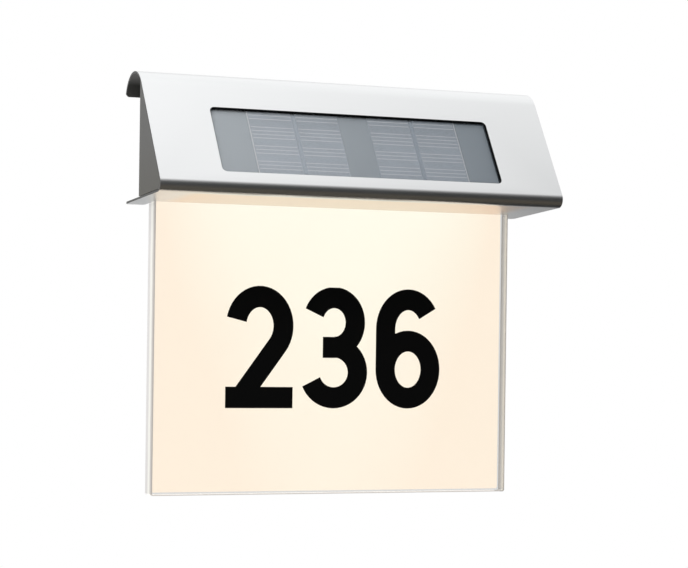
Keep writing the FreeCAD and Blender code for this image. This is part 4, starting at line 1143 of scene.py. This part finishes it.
def lit_lens():
    """Yellow lens that is lit."""
    material, tree, shader, place = new_material(
        "led_lens_resin", Roughness=0.35, Emission_Strength=0.6, Base_Color=(0.9, 0.85, 0.6, 1.0)
    )
    tone = noise(tree, place, 700.0)
    glow = graded(tree, tone, [(0.0, (1.0, 0.86, 0.5)), (1.0, (1.0, 0.93, 0.7))])
    tree.links.new(glow, shader.inputs["Emission Color"])
    return material


# --- stage ----------------------------------------------------------------------------------

CAMERA_PLACE = Vector((-0.4154, -1.0244, -0.1059))
CAMERA_YAW = math.radians(22.62)
CAMERA_ROLL = math.radians(0.78)
CAMERA_LENS = 117.68
CAMERA_SHIFT_UP = 0.0917
FLOOR_HALF, FLOOR_DROP = 1.2, 0.35
ROOM_LIGHT, STUDIO_LIGHT, WHITE_THROUGH_PANEL = 0.34, 1.2, 0.74
# place of each lamp, what it points at, its width, its power, and how much it shows in
# polished surfaces
LAMPS = {
    "soft_box": ((0.05, -0.45, 1.2), (0, 0, 0), 0.9, 0.3, 0.0),
    "side_light": ((-0.32, -0.30, 0.34), (0, -0.03, 0), 0.25, 1.05, 1.0),
}
WHITE = (1.0, 1.0, 1.0, 1.0)
# the studio's floor in front, and its greys from there up and back to white
STUDIO_FLOOR = (0.062, 0.053, 0.040)
STUDIO_GREYS = (
    (0.07, 0.026), (0.30, 0.035), (0.38, 0.09), (0.46, 0.19), (0.55, 0.30), (0.60, 0.63),
    (0.68, 0.80), (0.72, 0.87), (1.0, 1.0),
)


class NUMBERLIGHT_OT_stage(bpy.types.Operator):
    """Make the pale floor, the soft light and the camera"""

    bl_idname = "number_light.stage"
    bl_label = "Floor, light and camera"

    def execute(self, context):
        context.scene.view_settings.view_transform = "Standard"
        self.add_floor()
        self.add_world(context.scene)
        for name, values in LAMPS.items():
            self.add_lamp(name, *values)
        self.add_camera(context.scene)
        return {"FINISHED"}

    def add_floor(self):
        bm = bmesh.new()
        bmesh.ops.create_grid(bm, x_segments=1, y_segments=1, size=FLOOR_HALF)
        bmesh.ops.translate(bm, verts=bm.verts, vec=(0, 0, cad_low.z - FLOOR_DROP))
        floor = new_piece("pale_floor", mesh_from(bm, "pale_floor"), shown_white("pale_floor"))
        floor.visible_glossy = False

    def add_world(self, scene):
        """Even soft light. Seen directly or through the panel it is white, and polished metal
        sees a studio instead."""
        world = bpy.data.worlds.new("soft_room")
        world.use_nodes = True
        tree = world.node_tree
        soft = tree.nodes["Background"]
        soft.inputs["Color"].default_value = WHITE
        soft.inputs["Strength"].default_value = ROOM_LIGHT
        rays, seen = rays_through(tree)
        lit = mixed(tree, rays["Is Glossy Ray"], soft.outputs[0], self.studio(tree))
        strength = spread(tree, rays["Is Camera Ray"], 0.0, 1.0, (WHITE_THROUGH_PANEL, 1.0))
        white = add_node(tree, "ShaderNodeBackground", {"Color": WHITE, "Strength": strength})
        last = mixed(tree, seen, lit, white.outputs[0])
        tree.links.new(last, tree.nodes["World Output"].inputs["Surface"])
        scene.world = world

    def studio(self, tree):
        """A studio by direction: dark in front and below, bright above and behind, lighter
        straight ahead, and a little darker behind and over the lamp."""
        rise, side_fall, reach = Vector((0.0, 0.68, 1.0)), 0.4, 1.2
        strip_half, strip_grey, rear_share = 0.11, 0.5, 0.75
        place = add_node(tree, "ShaderNodeTexCoord").outputs["Object"]
        apart = split(tree, place)
        aside = compute(tree, "ABSOLUTE", apart["X"])
        height = distance_along(tree, place, rise)
        level = compute(tree, "MULTIPLY_ADD", aside, -side_fall, height)
        greys = [(position, (grey, grey, grey)) for position, grey in STUDIO_GREYS]
        share = spread(tree, level, -reach, reach)
        tone = graded(tree, share, [(0.0, STUDIO_FLOOR), *greys])
        ahead = spread(tree, aside, 0.0, strip_half, (strip_grey, 0.0))
        lifted = blended(tree, 1.0, tone, ahead, "LIGHTEN")
        rearward = spread(tree, apart["Y"], 0.70, 0.84, (1.0, rear_share))
        over = spread(tree, apart["Z"], 0.06, 0.20, (1.0, rearward))
        shown = brighter(tree, lifted, over)
        return add_node(
            tree, "ShaderNodeBackground", {"Color": shown, "Strength": STUDIO_LIGHT}
        ).outputs[0]

    def add_lamp(self, name, place, aim, size, power, gloss):
        """A round soft lamp. Gloss is how much it shows in polished surfaces."""
        light = bpy.data.lights.new(name, "AREA")
        light.shape = "DISK"
        light.size = size
        light.energy = power
        light.specular_factor = gloss
        lamp = new_object(name, light)
        lamp.location = place
        lamp.rotation_euler = (Vector(aim) - Vector(place)).to_track_quat("-Z", "Y").to_euler()

    def add_camera(self, scene):
        ahead = Vector((math.sin(CAMERA_YAW), math.cos(CAMERA_YAW), 0))
        level = Vector((math.cos(CAMERA_YAW), -math.sin(CAMERA_YAW), 0))
        upright = Vector((0, 0, 1))
        right = math.cos(CAMERA_ROLL) * level + math.sin(CAMERA_ROLL) * upright
        up = -math.sin(CAMERA_ROLL) * level + math.cos(CAMERA_ROLL) * upright
        turn = Matrix((right, up, -ahead)).transposed().to_4x4()
        data = bpy.data.cameras.new("view")
        data.lens = CAMERA_LENS
        data.sensor_width = 36.0
        data.shift_y = CAMERA_SHIFT_UP
        data.clip_start = 0.01
        camera = new_object("view", data)
        camera.matrix_world = Matrix.Translation(CAMERA_PLACE) @ turn
        scene.camera = camera


def rays_through(tree):
    """The kinds of ray, and a socket that is 1 for rays from the camera and through glass."""
    rays = add_node(tree, "ShaderNodeLightPath").outputs
    return rays, compute(tree, "MAXIMUM", rays["Is Camera Ray"], rays["Is Transmission Ray"])


def mixed(tree, share, first, second):
    """Two shaders mixed by a share."""
    return add_node(tree, "ShaderNodeMixShader", {0: share, 1: first, 2: second}).outputs[0]


def shown_white(name):
    """A pale floor that looks white, still takes a faint shadow, and is open from below, so
    that the underside can be looked at."""
    material = bpy.data.materials.new(name)
    material.use_nodes = True
    tree = material.node_tree
    shader = tree.nodes["Principled BSDF"]
    shader.inputs["Base Color"].default_value = (0.9, 0.9, 0.9, 1.0)
    shader.inputs["Roughness"].default_value = 0.9
    glow = add_node(tree, "ShaderNodeEmission", {"Strength": 1.0})
    share = compute(tree, "MULTIPLY", rays_through(tree)[1], 0.9)
    above = mixed(tree, share, shader.outputs[0], glow.outputs[0])
    clear = add_node(tree, "ShaderNodeBsdfTransparent")
    below = add_node(tree, "ShaderNodeNewGeometry").outputs["Backfacing"]
    last = mixed(tree, below, above, clear.outputs[0])
    tree.links.new(last, tree.nodes["Material Output"].inputs["Surface"])
    return material


# --- panel, registration and run --------------------------------------------------------------

OPERATORS = [
    NUMBERLIGHT_OT_stage,
    NUMBERLIGHT_OT_hood,
    NUMBERLIGHT_OT_housing,
    NUMBERLIGHT_OT_bracket,
    NUMBERLIGHT_OT_module,
    NUMBERLIGHT_OT_panel,
    NUMBERLIGHT_OT_screws,
    NUMBERLIGHT_OT_electronics,
]


class NUMBERLIGHT_PT_pieces(bpy.types.Panel):
    """Lists the pieces and their sizes and colours"""

    bl_idname = "NUMBERLIGHT_PT_pieces"
    bl_label = "House Number Light"
    bl_space_type = "VIEW_3D"
    bl_region_type = "UI"
    bl_category = "Number Light"

    def draw(self, context):
        for name, kind in SETTINGS.items():
            box = self.layout.box()
            for label in kind.__annotations__:
                box.prop(getattr(context.scene, name), label)
        for operator in OPERATORS:
            self.layout.operator(operator.bl_idname)


def register():
    for kind in (*SETTINGS.values(), *OPERATORS, NUMBERLIGHT_PT_pieces):
        bpy.utils.register_class(kind)
    for name, kind in SETTINGS.items():
        setattr(bpy.types.Scene, name, PointerProperty(type=kind))


def unregister():
    for name in SETTINGS:
        delattr(bpy.types.Scene, name)
    for kind in (NUMBERLIGHT_PT_pieces, *reversed(OPERATORS), *SETTINGS.values()):
        bpy.utils.unregister_class(kind)


def main():
    register()
    for operator in OPERATORS:
        group, name = operator.bl_idname.split(".")
        getattr(getattr(bpy.ops, group), name)()


if __name__ == "__main__":
    main()
